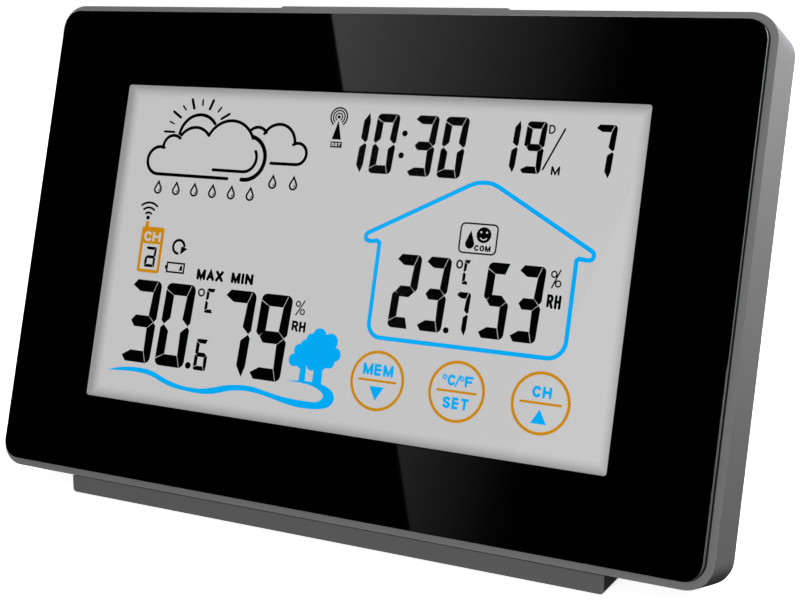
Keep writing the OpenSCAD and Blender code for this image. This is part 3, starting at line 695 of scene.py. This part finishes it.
LETTERS = {
    "A": (((0, 0), (0.5, 1), (1, 0)), ((0.2, 0.3), (0.8, 0.3))),
    "C": (((0.97, 0.72), (0.8, 0.92), (0.5, 1), (0.2, 0.9), (0.02, 0.62), (0.02, 0.38), (0.2, 0.1),
           (0.5, 0), (0.8, 0.08), (0.97, 0.28)),),
    "D": (((0, 0), (0, 1), (0.5, 1), (0.85, 0.85), (1, 0.5), (0.85, 0.15), (0.5, 0), (0, 0)),),
    "E": (((1, 1), (0, 1), (0, 0), (1, 0)), ((0, 0.52), (0.92, 0.52))),
    "F": (((1, 1), (0, 1), (0, 0)), ((0, 0.5), (0.85, 0.5))),
    "H": (((0, 0), (0, 1)), ((1, 0), (1, 1)), ((0, 0.52), (1, 0.52))),
    "I": (((0.5, 0), (0.5, 1)),),
    "M": (((0, 0), (0, 1)), ((0.04, 0.97), (0.5, 0.05), (0.96, 0.97)), ((1, 1), (1, 0))),
    "N": (((0, 0), (0, 1)), ((0.03, 0.97), (0.97, 0.03)), ((1, 0), (1, 1))),
    "O": (((0.5, 0), (0.2, 0.1), (0.02, 0.4), (0.02, 0.62), (0.2, 0.9), (0.5, 1), (0.8, 0.9),
           (0.98, 0.62), (0.98, 0.4), (0.8, 0.1), (0.5, 0)),),
    "R": (((0, 0), (0, 1), (0.7, 1), (0.95, 0.87), (0.95, 0.65), (0.7, 0.5), (0, 0.5)),
          ((0.55, 0.5), (1, 0))),
    "S": (((0.95, 0.76), (0.8, 0.95), (0.5, 1), (0.18, 0.93), (0.06, 0.75), (0.25, 0.56),
           (0.75, 0.44), (0.97, 0.27), (0.82, 0.06), (0.5, 0), (0.15, 0.07), (0.03, 0.27)),),
    "T": (((0, 1), (1, 1)), ((0.5, 1), (0.5, 0))),
    "X": (((0, 0), (1, 1)), ((0, 1), (1, 0))),
    "/": (((0, -0.02), (1, 1.02)),),
}
LETTER_WIDTHS = {"M": 1.2, "I": 0.01, "/": 0.42, "E": 0.85, "F": 0.8, "T": 0.95}


def lettering(sheet, words, left, foot, right, top, weight):
    """Adds plain sans lettering that fills a box, in mm on the display, in lines of one weight."""
    widths = [LETTER_WIDTHS.get(letter, 1.0) for letter in words]
    space = (right - left - len(words) * weight * 1.45 + 0.45 * weight) / sum(widths)
    at = left + weight / 2
    for letter, wide in zip(words, widths):
        for stroke in LETTERS[letter]:
            line(sheet, [(at + x * wide * space, foot + weight / 2 + y * (top - foot - weight))
                         for x, y in stroke], weight, flat_ends=len(stroke) > 3)
        at += wide * space + 1.45 * weight


def per_cent(sheet, left, foot, right, top, weight):
    """Adds a per cent sign that fills a box."""
    line(sheet, ((left + 0.35, foot), (right - 0.35, top)), weight)
    for across, up in ((left + 0.26 * (right - left), top - 0.24 * (top - foot)),
                       (right - 0.26 * (right - left), foot + 0.24 * (top - foot))):
        oval = [(across + (x - across) * 0.9, y)
                for x, y in arc((across, up), 0.17 * (top - foot), 0, 342)]
        line(sheet, oval, weight, True)


def laid(name, sheet, finish):
    """Thickens a sheet of outlines into closed shapes and lays it on the display glass."""
    bmesh.ops.recalc_face_normals(sheet, faces=sheet.faces)
    raised = bmesh.ops.extrude_face_region(sheet, geom=sheet.faces[:], use_keep_orig=True)
    for element in raised["geom"]:
        if isinstance(element, bmesh.types.BMVert):
            element.co.y -= SEGMENT_THICK * MM
    return fit(case_piece(name, sheet), finish, "case", "lcd")


# Switched-on liquid crystal: nearly black, with a faint unevenness
dark_segments = new_finish("liquid_crystal_switched_on")
dark_place = node(dark_segments, "ShaderNodeTexCoord")
dark_waves = node(dark_segments, "ShaderNodeTexNoise",
                  {"Vector": dark_place.outputs["Object"], "Scale": 1 / (4 * MM)})
dark_tint = node(dark_segments, "ShaderNodeMix",
                 {"Factor": dark_waves.outputs["Fac"], "A": linear("#010101"),
                  "B": linear("#040404")}, data_type="RGBA")
dark_shader = node(dark_segments, "ShaderNodeBsdfPrincipled",
                   {"Base Color": dark_tint.outputs["Result"], "Roughness": 0.5,
                    "Specular IOR Level": 0.0})
node(dark_segments, "ShaderNodeOutputMaterial", {"Surface": dark_shader.outputs["BSDF"]})

# Sky with sun, two clouds and rain
sky = bmesh.new()
line(sky, arc((-40.8, 23.7), 5.05, 172, 40), 0.72)
sun_rays = (((-49.8, 24.7), (-47.3, 24.7), 0.5), ((-48.75, 26.94), (-47.65, 26.5), 0.35),
            ((-48.06, 29.16), (-46.1, 27.97), 0.6), ((-45.8, 30.5), (-45.0, 29.7), 0.4),
            ((-43.6, 31.97), (-42.9, 30.1), 0.65), ((-40.85, 31.97), (-40.8, 30.9), 0.45),
            ((-38.1, 31.97), (-38.8, 30.1), 0.65), ((-35.85, 30.5), (-36.55, 29.6), 0.4),
            ((-33.6, 29.2), (-35.5, 28.06), 0.55))
for start, end, width in sun_rays:
    line(sky, (start, end), width)
line(sky, [(-32.0, 15.3)] + arc((-50.3, 18.3), 3.0, 270, 72), 0.72)
line(sky, arc((-47.1, 21.4), 2.55, 184, 51), 0.68)
line(sky, arc((-41.6, 21.4), 4.55, 144, 41), 0.68)
line(sky, arc((-32.5, 21.5), 6.3, 153, 26), 0.68)
line(sky, arc((-27.9, 20.0), 4.7, 77, -96), 0.9)
line(sky, arc((-28.3, 20.0), 3.0, 30, -90) + [(-35.9, 17.0)], 0.68)
line(sky, arc((-25.8, 24.04), 2.66, 133, 38), 0.68)
line(sky, arc((-20.5, 23.4), 4.15, 151, 8), 0.68)
line(sky, arc((-15.5, 21.5), 2.25, 122, -90) + [(-21.6, 19.2)], 0.68)
for across, foot in [(u, 11.0) for u in (-49.53, -44.75, -40.0, -35.28, -30.47, -25.69)] + [
        (u, 13.9) for u in (-20.53, -15.44)]:
    line(sky, [(across, foot + 2.65)] + arc((across, foot + 0.92), 0.83, 155, 385), 0.4, True)
    line(sky, arc((across + 0.05, foot + 0.95), 0.36, -70, 10), 0.2)
laid("weather_symbol", sky, dark_segments)

# Time signal tower
tower = bmesh.new()
fill(tower, arc((-6.63, 29.68), 0.36, 0, 345))
for radius, width in ((0.8, 0.25), (1.37, 0.28), (1.93, 0.33)):
    line(tower, arc((-6.63, 29.68), radius, -52, 232), width)
fill(tower, ((-6.63, 28.95), (-7.7, 25.0), (-5.55, 25.0)))
fill(tower, ((-7.85, 23.3), (-5.2, 23.3), (-5.2, 24.55), (-7.85, 24.55)))
laid("signal_tower", tower, dark_segments)

# Clock
CLOCK_SLANT = 0.061
clock = bmesh.new()
for figure, right in (("1", 1.0), ("0", 7.6), ("3", 16.4), ("0", 23.0)):
    digit(clock, figure, right, 18.5, 12.3, 5.15, (1.75, 1.55), CLOCK_SLANT)
for spot in ((9.0, 26.98), (8.78, 22.5)):
    fill(clock, arc(spot, 0.62, 0, 345))
laid("clock_figures", clock, dark_segments)

# Date and month
calendar = bmesh.new()
for figure, right in (("1", 34.1), ("9", 39.5), ("7", 53.6)):
    digit(calendar, figure, right, 20.45, 10.15, 4.2, (1.4, 1.25), 0.05)
line(calendar, ((43.1, 29.4), (39.5, 21.4)), 0.36)
lettering(calendar, "D", 39.8, 28.35, 41.15, 30.1, 0.3)
lettering(calendar, "M", 41.25, 20.4, 43.05, 22.15, 0.36)
laid("calendar_figures", calendar, dark_segments)

# Outdoor sensor: radio waves, channel window, loop arrow and low battery
sensor = bmesh.new()
fill(sensor, arc((-51.1, 5.55), 0.47, 0, 345))
for radius in (1.15, 2.25, 3.35):
    line(sensor, arc((-51.1, 5.53), radius, 128, 52), 0.46)
digit(sensor, "a", -47.6, -5.2, 4.48, 2.75, (0.66, 0.6), 0.03)
line(sensor, arc((-41.94, -0.19), 1.47, 275, 0), 0.58, flat_ends=True)
fill(sensor, ((-39.6, -0.45), (-41.25, -0.05), (-41.35, -1.85)))
line(sensor, ((-44.25, -5.75), (-39.85, -5.75), (-39.85, -3.75), (-44.25, -3.75)), 0.38, True)
fill(sensor, ((-44.8, -5.15), (-44.3, -5.15), (-44.3, -4.35), (-44.8, -4.35)))
fill(sensor, ((-41.1, -5.3), (-40.3, -5.3), (-40.3, -4.2), (-40.8, -4.2)))
lettering(sensor, "MAX", -36.3, -6.75, -29.5, -4.4, 0.64)
lettering(sensor, "MIN", -27.5, -6.75, -22.0, -4.4, 0.64)
laid("sensor_symbols", sensor, dark_segments)

# Outdoor temperature and humidity
outdoor = bmesh.new()
for figure, right in (("3", -44.8), ("0", -35.9), ("7", -20.5), ("9", -11.65)):
    digit(outdoor, figure, right, -26.0, 17.95, 7.55, (2.55, 2.2), 0.04)
fill(outdoor, arc((-35.4, -25.15), 0.72, 0, 345))
digit(outdoor, "6", -30.7, -25.9, 6.7, 3.2, (0.95, 0.85), 0.03)
line(outdoor, arc((-34.47, -9.4), 0.72, 0, 340), 0.36, True)
digit(outdoor, "C", -30.6, -13.6, 5.25, 2.45, (0.78, 0.7), 0.03)
per_cent(outdoor, -10.95, -11.8, -8.5, -8.75, 0.26)
lettering(outdoor, "RH", -11.2, -15.25, -7.9, -13.0, 0.5)
laid("outdoor_figures", outdoor, dark_segments)

# Indoor temperature and humidity, and the comfort sign
indoor = bmesh.new()
for figure, right in (("2", 16.57), ("3", 23.12), ("5", 36.35), ("3", 43.0)):
    digit(indoor, figure, right, -12.0, 14.8, 5.35, (2.2, 1.7), 0.04)
fill(indoor, arc((23.62, -11.35), 0.62, 0, 345))
digit(indoor, "7", 28.05, -12.0, 8.43, 3.0, (1.25, 1.02), 0.03)
degree = [(24.75 + (x - 24.75) * 0.8, y) for x, y in arc((24.75, 1.8), 0.72, 0, 340)]
line(indoor, degree, 0.36, True)
digit(indoor, "C", 27.45, -2.07, 4.85, 1.65, (0.7, 0.62), 0.03)
per_cent(indoor, 44.05, -1.0, 46.15, 2.4, 0.28)
lettering(indoor, "RH", 43.75, -5.0, 46.65, -2.3, 0.52)
line(indoor, [(u + 28.015, v + 7.07) for u, v in rounded(7.85, 5.8, 0.9, 5)], 0.32, True)
fill(indoor, [(26.3, 8.6)] + arc((26.3, 5.95), 0.97, 160, 380))
fill(indoor, arc((29.1, 7.86), 1.57, 0, 352))
lettering(indoor, "COM", 27.35, 4.65, 30.85, 5.85, 0.3)
laid("indoor_figures", indoor, dark_segments)


# ---------------------------------------------------------------- coloured signs of the display
# Fixed signs screen-printed in blue and orange ink on the display's front film, the key rings
# among them. The light behind the display shines through the ink.
def printing_ink(name, colour, deep):
    """Translucent screen ink: even, matt and bright."""
    finish = new_finish(name)
    place = node(finish, "ShaderNodeTexCoord")
    mesh_marks = node(finish, "ShaderNodeTexNoise",
                      {"Vector": place.outputs["Object"], "Scale": 1 / (0.6 * MM)})
    tint = node(finish, "ShaderNodeMix",
                {"Factor": mesh_marks.outputs["Fac"], "A": linear(deep), "B": linear(colour)},
                data_type="RGBA")
    shader = node(finish, "ShaderNodeBsdfPrincipled",
                  {"Base Color": linear("#040404"), "Roughness": 0.5, "Specular IOR Level": 0.0,
                   "Emission Color": tint.outputs["Result"], "Emission Strength": 1.1})
    node(finish, "ShaderNodeOutputMaterial", {"Surface": shader.outputs["BSDF"]})
    return finish


blue_ink = printing_ink("blue_screen_ink", "#00abf4", "#00a8f0")
orange_ink = printing_ink("orange_screen_ink", "#cb8a0b", "#c58608")
pale_ink = printing_ink("pale_screen_ink", "#c6c6c6", "#c2c2c2")

house = bmesh.new()
roof = [(24.9, 17.45), (26.4, 18.0), (28.0, 18.13), (29.5, 18.0), (30.9, 17.45)]
walls = (arc((4.2, 5.62), 0.95, 112, 240)[:-1] + [(4.5, 4.74), (6.0, 4.98), (6.54, 4.6)])
walls += arc((9.4, -11.5), 2.86, 180, 270) + arc((45.1, -10.8), 3.56, 270, 360)
walls += [(48.66, 4.5), (49.1, 4.9), (50.7, 4.75)] + arc((51.05, 5.7), 0.95, 280, 425)
line(house, roof + walls[::-1], 0.88, True)
laid("house_outline", house, blue_ink)

ground = bmesh.new()
upper_side = [(-56.4, -28.5), (-52.8, -27.5), (-48.7, -27.1), (-44.5, -27.4), (-40.3, -28.8),
              (-36.2, -29.6), (-32, -29.7), (-28.7, -29.1), (-24.5, -28.0), (-19.5, -27.6),
              (-15.3, -28.2), (-11.2, -28.8), (-7, -29.0), (-3.25, -28.9), (-1.9, -28.0),
              (-1.8, -27.2), (-3.25, -26.2), (-6.2, -25.5), (-11, -25.4)]
lower_side = [(-52.8, -28.25), (-48.7, -28.1), (-44.5, -28.5), (-40.3, -29.9), (-36.2, -30.5),
              (-31.2, -30.7), (-27.8, -30.25), (-23.7, -29.1), (-19.5, -28.75), (-15.3, -29.2),
              (-11.2, -30.0), (-7, -30.5), (-2.8, -30.3), (-0.1, -29.5), (0.9, -27.8),
              (0.1, -26.2), (-2, -25.25), (-4.5, -24.95), (-8, -25.05)]


def eased(points):
    """The points of a smooth line through the given ones."""
    made = []
    for at in range(len(points) - 1):
        p0, p1 = Vector(points[max(0, at - 1)]), Vector(points[at])
        p2, p3 = Vector(points[at + 1]), Vector(points[min(len(points) - 1, at + 2)])
        for step in range(3):
            s = step / 3
            made.append(0.5 * (2 * p1 + (p2 - p0) * s + (2 * p0 - 5 * p1 + 4 * p2 - p3) * s * s
                               + (3 * p1 - p0 - 3 * p2 + p3) * s ** 3))
    return made + [Vector(points[-1])]


fill(ground, eased(upper_side) + eased([upper_side[0]] + lower_side)[:0:-1])
for left, right in ((-7.9, -6.4), (-4.7, -2.5)):
    fill(ground, ((left, -25.4), (right, -25.4), (right - 0.1, -21.0), (left + 0.1, -21.0)))
for across, up, radius in ((-9.5, -20.96, 1.35), (-8.46, -18.9, 1.4), (-7.2, -17.8, 1.3),
                           (-5.96, -16.4, 1.3), (-4.3, -15.5, 1.6), (-1.6, -16.4, 1.7),
                           (-0.33, -18.9, 1.45), (-1.4, -20.5, 1.35), (-5.3, -21.6, 1.15),
                           (-7.2, -20.1, 1.7), (-7.8, -21.5, 1.1), (-4.5, -19.1, 3.1),
                           (-2.9, -21.1, 1.2)):
    fill(ground, arc((across, up), radius, 0, 350))
laid("ground_and_tree", ground, blue_ink)

RING_RADIUS = 5.75
RING_UP = -22.93
rings = bmesh.new()
key_words = bmesh.new()
for across in (10.07, 27.57, 45.1):
    line(rings, arc((across, RING_UP), RING_RADIUS, 0, 360), 0.6, True)
    line(rings, ((across - 4.1, RING_UP), (across + 4.1, RING_UP)), 0.48)
lettering(key_words, "MEM", 6.65, -21.95, 13.45, -19.6, 0.58)
for left, letter in ((24.2, "C"), (27.95, "F")):
    line(key_words, arc((left + 0.52, -20.32), 0.37, 0, 340), 0.3, True)
    lettering(key_words, letter, left + 1.15, -21.9, left + 2.95, -19.7, 0.52)
line(key_words, ((27.15, -21.9), (28.0, -19.75)), 0.36)
lettering(key_words, "SET", 24.85, -26.35, 30.45, -24.05, 0.56)
lettering(key_words, "CH", 43.15, -21.95, 47.15, -19.7, 0.56)
fill(key_words, ((8.5, -24.1), (11.75, -24.1), (10.12, -26.96)))
fill(key_words, ((43.5, -26.86), (46.75, -26.86), (45.12, -24.1)))
laid("key_rings", rings, orange_ink)
laid("key_words", key_words, blue_ink)

channel = bmesh.new()
fill(channel, ((-51.5, 3.5), (-50.6, 3.5), (-50.6, 4.75), (-51.5, 4.75)))
line(channel, [(u - 49.22, v - 1.4) for u, v in rounded(5.25, 9.3, 0.3, 3)], 0.7, True)
fill(channel, ((-52.1, -0.1), (-46.3, -0.1), (-46.3, 3.5), (-52.1, 3.5)))
laid("channel_box", channel, orange_ink)

# Light lettering and marks left open in the dark and the orange areas
SEGMENT_BACK -= SEGMENT_THICK
openings = bmesh.new()
lettering(openings, "CH", -51.4, 0.42, -47.0, 2.58, 0.48)
lettering(openings, "DST", -7.6, 23.57, -5.45, 24.3, 0.2)
for spot in ((28.5, 8.4), (29.7, 8.4)):
    fill(openings, arc(spot, 0.21, 0, 330))
line(openings, arc((29.1, 7.75), 0.82, 215, 325), 0.2)
laid("openings_in_signs", openings, pale_ink)

# ---------------------------------------------------------------- display tray and its light
# Behind the glass lie a milky sheet, an acrylic light guide and a white sheet, with three side
# lights on a narrow board. A screwed white tray holds them all to the main board.
def plain_moulding(name, dark, light, grain_mm, dullness, see_through=0.0, bump=0.3):
    """A sheet or moulding with a fine even grain of one size and a slight drift in its tone."""
    finish = new_finish(name)
    place = node(finish, "ShaderNodeTexCoord")
    grain = node(finish, "ShaderNodeTexNoise",
                 {"Vector": place.outputs["Object"], "Scale": 1 / (grain_mm * MM),
                  "Detail": 2.0})
    tint = node(finish, "ShaderNodeMix",
                {"Factor": grain.outputs["Fac"], "A": linear(dark), "B": linear(light)},
                data_type="RGBA")
    relief = node(finish, "ShaderNodeBump",
                  {"Height": grain.outputs["Fac"], "Strength": bump,
                   "Distance": 0.05 * grain_mm * MM})
    shader = node(finish, "ShaderNodeBsdfPrincipled",
                  {"Base Color": tint.outputs["Result"], "Roughness": dullness,
                   "Transmission Weight": see_through, "Normal": relief.outputs["Normal"]})
    node(finish, "ShaderNodeOutputMaterial", {"Surface": shader.outputs["BSDF"]})
    return finish


# White polyester sheet: bright and matt. Acrylic: clear, with a dotted back.
# White ABS: satin, with a moulded skin.
coat("diffuser_sheet", plain_moulding("milky_polyester", "#ececec", "#f6f6f6", 0.5, 0.6))
coat("reflector_sheet", plain_moulding("white_polyester", "#f0f0f0", "#fafafa", 0.8, 0.45))
coat("light_guide", plain_moulding("acrylic_light_guide", "#e6eef0", "#f2f8fa", 1.0, 0.08, 0.8))
coat("lcd_holder", plain_moulding("white_abs_moulded", "#dcdcda", "#e6e6e4", 0.4, 0.42))

# Silicone connector bars: thin dark conducting layers between pale ones, 0.18 mm apart on the
# real bar and drawn at 0.36 mm
zebra_rubber = new_finish("layered_silicone_rubber")
zebra_place = node(zebra_rubber, "ShaderNodeTexCoord")
zebra_layers = node(zebra_rubber, "ShaderNodeTexWave",
                    {"Vector": zebra_place.outputs["Object"], "Scale": 0.314 / (0.36 * MM)},
                    bands_direction="X")
zebra_tint = node(zebra_rubber, "ShaderNodeMix",
                  {"Factor": zebra_layers.outputs["Fac"], "A": linear("#1c1a1b"),
                   "B": linear("#d9a3ac")}, data_type="RGBA")
zebra_shader = node(zebra_rubber, "ShaderNodeBsdfPrincipled",
                    {"Base Color": zebra_tint.outputs["Result"], "Roughness": 0.7})
node(zebra_rubber, "ShaderNodeOutputMaterial", {"Surface": zebra_shader.outputs["BSDF"]})
coat("zebra_strips", zebra_rubber)

# ---------------------------------------------------------------- circuit boards
# The main board, the receiver's board, the light strip and the key's small board: glass-fibre
# laminate under green solder resist, with copper tracks that show as paler lines.
PAD_PITCH = 2.54

green_laminate = new_finish("glass_fibre_laminate_green_resist")
board_place = node(green_laminate, "ShaderNodeTexCoord")
board_tracks = node(green_laminate, "ShaderNodeTexBrick",
                    {"Vector": board_place.outputs["Object"], "Scale": 1 / (PAD_PITCH * MM),
                     "Color1": linear("#1d5a34"), "Color2": linear("#22663b"),
                     "Mortar": linear("#2f8350"), "Mortar Size": 0.06})
board_weave = node(green_laminate, "ShaderNodeTexNoise",
                   {"Vector": board_place.outputs["Object"], "Scale": 1 / (0.6 * MM)})
board_tint = node(green_laminate, "ShaderNodeMix",
                  {"Factor": board_weave.outputs["Fac"], "A": board_tracks.outputs["Color"],
                   "B": linear("#174a2b")}, data_type="RGBA")
board_shader = node(green_laminate, "ShaderNodeBsdfPrincipled",
                    {"Base Color": board_tint.outputs["Result"], "Roughness": 0.3,
                     "Coat Weight": 0.3})
node(green_laminate, "ShaderNodeOutputMaterial", {"Surface": board_shader.outputs["BSDF"]})
for board in ("main_board", "radio_module", "key_board", "backlight_strip"):
    coat(board, green_laminate)

# ---------------------------------------------------------------- parts on the boards
# The controller under its drop of black resin, the clock crystal, two capacitors, the sounder,
# the push switch, the humidity sensor, the receiver's wire and the ferrite core with its coil.
# Potting resin: glossy black. Ferrite: dull dark ceramic. Sleeve: shrunk dark blue polyester.
coat("controller_blob", plain_moulding("black_potting_resin", "#0b0b0c", "#151516", 3.0, 0.25))
coat("buzzer", plain_moulding("black_polyester_moulded", "#131314", "#1c1c1d", 0.4, 0.5))
coat("ferrite_rod", plain_moulding("sintered_ferrite", "#2f3032", "#3c3d3f", 0.3, 0.65, 0.0, 0.7))
coat("capacitors", plain_moulding("blue_shrink_sleeve", "#1b2f66", "#22397a", 2.0, 0.35))
coat("humidity_sensor", plain_moulding("ivory_sensor_body", "#dedbd0", "#e9e6dc", 0.5, 0.55))
coat("switch_stem", plain_moulding("white_nylon_moulded", "#e4e4e0", "#efefeb", 0.4, 0.4))


def rolled_metal(name, dark, light, grain_mm, dullness):
    """Bare or plated metal with the fine streaks of its rolling or drawing."""
    finish = new_finish(name)
    place = node(finish, "ShaderNodeTexCoord")
    along = node(finish, "ShaderNodeMapping", {"Vector": place.outputs["Object"],
                                               "Scale": (0.12, 1.0, 1.0)})
    streaks = node(finish, "ShaderNodeTexNoise",
                   {"Vector": along.outputs["Vector"], "Scale": 1 / (grain_mm * MM),
                    "Detail": 3.0})
    tint = node(finish, "ShaderNodeMix",
                {"Factor": streaks.outputs["Fac"], "A": linear(dark), "B": linear(light)},
                data_type="RGBA")
    dull = node(finish, "ShaderNodeMapRange",
                {"Value": streaks.outputs["Fac"], "To Min": dullness - 0.08,
                 "To Max": dullness + 0.08})
    shader = node(finish, "ShaderNodeBsdfPrincipled",
                  {"Base Color": tint.outputs["Result"], "Metallic": 1.0,
                   "Roughness": dull.outputs["Result"]})
    node(finish, "ShaderNodeOutputMaterial", {"Surface": shader.outputs["BSDF"]})
    return finish


# Nickel-plated steel: bright and slightly warm. Brass wire: yellow. Zinc plate: bluish grey.
nickel_steel = rolled_metal("nickel_plated_spring_steel", "#b4b0a8", "#cbc7be", 0.3, 0.3)
zinc_steel = rolled_metal("zinc_plated_steel", "#9b9fa3", "#b4b8bb", 0.4, 0.36)
coat("clock_crystal", nickel_steel)
coat("snooze_switch", nickel_steel)
coat("radio_antenna", rolled_metal("drawn_brass_wire", "#b08a3e", "#c9a352", 0.2, 0.32))

# Enamelled copper winding, turn beside turn: 0.2 mm wire, drawn at 0.5 mm
copper_winding = new_finish("enamelled_copper_winding")
winding_place = node(copper_winding, "ShaderNodeTexCoord")
winding_turns = node(copper_winding, "ShaderNodeTexWave",
                     {"Vector": winding_place.outputs["Object"], "Scale": 0.314 / (0.5 * MM)},
                     bands_direction="X")
winding_tint = node(copper_winding, "ShaderNodeMix",
                    {"Factor": winding_turns.outputs["Fac"], "A": linear("#5d2412"),
                     "B": linear("#a4542c")}, data_type="RGBA")
winding_bump = node(copper_winding, "ShaderNodeBump",
                    {"Height": winding_turns.outputs["Fac"], "Distance": 0.1 * MM})
winding_shader = node(copper_winding, "ShaderNodeBsdfPrincipled",
                      {"Base Color": winding_tint.outputs["Result"], "Metallic": 0.6,
                       "Roughness": 0.35, "Normal": winding_bump.outputs["Normal"]})
node(copper_winding, "ShaderNodeOutputMaterial", {"Surface": winding_shader.outputs["BSDF"]})
coat("time_signal_coil", copper_winding)

# ---------------------------------------------------------------- snooze key
# The long key on the top edge, moulded in the same grey ABS as the case.
# Its flange hooks under the frame, and the push switch below springs it back up.
fit(edged("snooze_key", MOULD_EDGE), grey_abs, "snooze_key", "frame_abs", "snooze_key")

# ---------------------------------------------------------------- rear cover
# The back half of the case: a tapered shell with a raised battery housing, a keyhole to hang
# it by, vents for the sensor and holes for the sounder. Same grey ABS, four screws.
fit(edged("rear_cover", MOULD_EDGE), grey_abs, "case", "cover_abs", "rear_cover")

# ---------------------------------------------------------------- battery door
# A moulded lid in the battery housing: it turns on two pins at its lower edge and its latch
# tab snaps in at the top. Same grey ABS.
fit(edged("battery_door", MOULD_EDGE), grey_abs, "battery_door", "cover_abs", "battery_door")

# ---------------------------------------------------------------- batteries and contacts
# Two AA cells lie head to tail between sprung and flat contacts of nickel-plated steel.
# The cells are steel cans in a printed polyester sleeve, with a bare rim and button.
CELL_BAND = 11.0
CELL_PLAY = 0.02


def turned(outline, sides=48):
    """A closed shape turned round the x axis from its outline: (along, radius, material), in mm."""
    shape = bmesh.new()
    rings = []
    for along, radius, material in outline:
        rings.append([shape.verts.new((along * MM, radius * MM * math.cos(math.tau * at / sides),
                                       radius * MM * math.sin(math.tau * at / sides)))
                      for at in range(sides)])
    for (first, second), (_, _, material) in zip(zip(rings, rings[1:]), outline[1:]):
        join_rings(shape, first, second, material)
    shape.faces.new(rings[0]).material_index = outline[0][2]
    shape.faces.new(rings[-1]).material_index = outline[-1][2]
    return shape


# Printed polyester sleeve: two plain bands, smooth and shiny
dark_sleeve = plain_moulding("printed_sleeve_dark", "#25282c", "#2c3035", 3.0, 0.22, 0.0, 0.1)
blue_sleeve = plain_moulding("printed_sleeve_blue", "#3a789f", "#4383a9", 3.0, 0.22, 0.0, 0.1)

cells_low, cells_high = case_box("aa_cells")
cell_radius = (cells_high.y - cells_low.y) / 2 / MM
cell_half = (cells_high.x - cells_low.x) / 2 / MM
for side in (-1, 1):
    sleeve = cell_radius - CELL_PLAY
    outline = [(-cell_half + 1.4, 3.4, 1), (-cell_half + 1.1, 4.3, 1), (-cell_half + 1.1, 5.9, 1),
               (-cell_half + 1.0, 6.3, 0), (-cell_half + 1.3, cell_radius - 0.25, 0),
               (-cell_half + 1.9, sleeve, 0), (cell_half - CELL_BAND, sleeve, 0),
               (cell_half - 2.6, sleeve, 2), (cell_half - 1.9, cell_radius - 0.3, 2),
               (cell_half - 1.6, 6.2, 2),
               (cell_half - 1.7, 5.6, 1), (cell_half - 1.5, 3.0, 1), (cell_half - 0.5, 2.7, 1),
               (cell_half - 0.15, 2.3, 1)]
    height = cells_high.z - cell_radius * MM if side > 0 else cells_low.z + cell_radius * MM
    place = (Matrix.Translation((0, (cells_low.y + cells_high.y) / 2, height))
             @ Matrix.Rotation(0 if side > 0 else math.pi, 4, "Z"))
    cell = case_piece("aa_cell_upper" if side > 0 else "aa_cell_lower", turned(outline), place)
    stands_for = ["aa_cells"] if side > 0 else []
    fit(cell, [dark_sleeve, nickel_steel, blue_sleeve], "case", "cell_sleeve", *stands_for)
coat("battery_springs", nickel_steel)
coat("battery_plates", nickel_steel)
coat("battery_wires", plain_moulding("red_vinyl_wire_sleeve", "#8e1b18", "#a5231f", 0.5, 0.4))

# ---------------------------------------------------------------- screws
# Cross-head self-tapping screws, zinc-plated: four in deep holes in the rear cover, four that
# hold the display tray and four that hold the main board.
for screws in ("case_screws", "board_screws", "holder_screws"):
    coat(screws, zinc_steel)

# ---------------------------------------------------------------- stand and feet
# A hollow foot of spark-eroded ABS that plugs into the case with two tongues and lifts off.
# Four round feet of grey rubber are glued under it.
# The stand's ABS is drawn a shade darker than the case's: painted shade for its front face below the
# case.
STAND_EDGE = 0.3 * MM
RUBBER_EDGE = 0.1 * MM
stand_abs_painted_shade = moulded_abs("abs_spark_eroded_painted_shade", "#565657", "#5c5c5d", 0.3, 0.02)
fit(edged("stand", STAND_EDGE), stand_abs_painted_shade, "stand", "frame_abs", "stand")

# Moulded rubber: dark, dull and faintly dusty
foot_rubber = plain_moulding("moulded_rubber", "#1f1f20", "#2b2b2c", 0.4, 0.8, 0.0, 0.6)
fit(edged("rubber_feet", RUBBER_EDGE), foot_rubber, "stand", "foot_rubber", "rubber_feet")
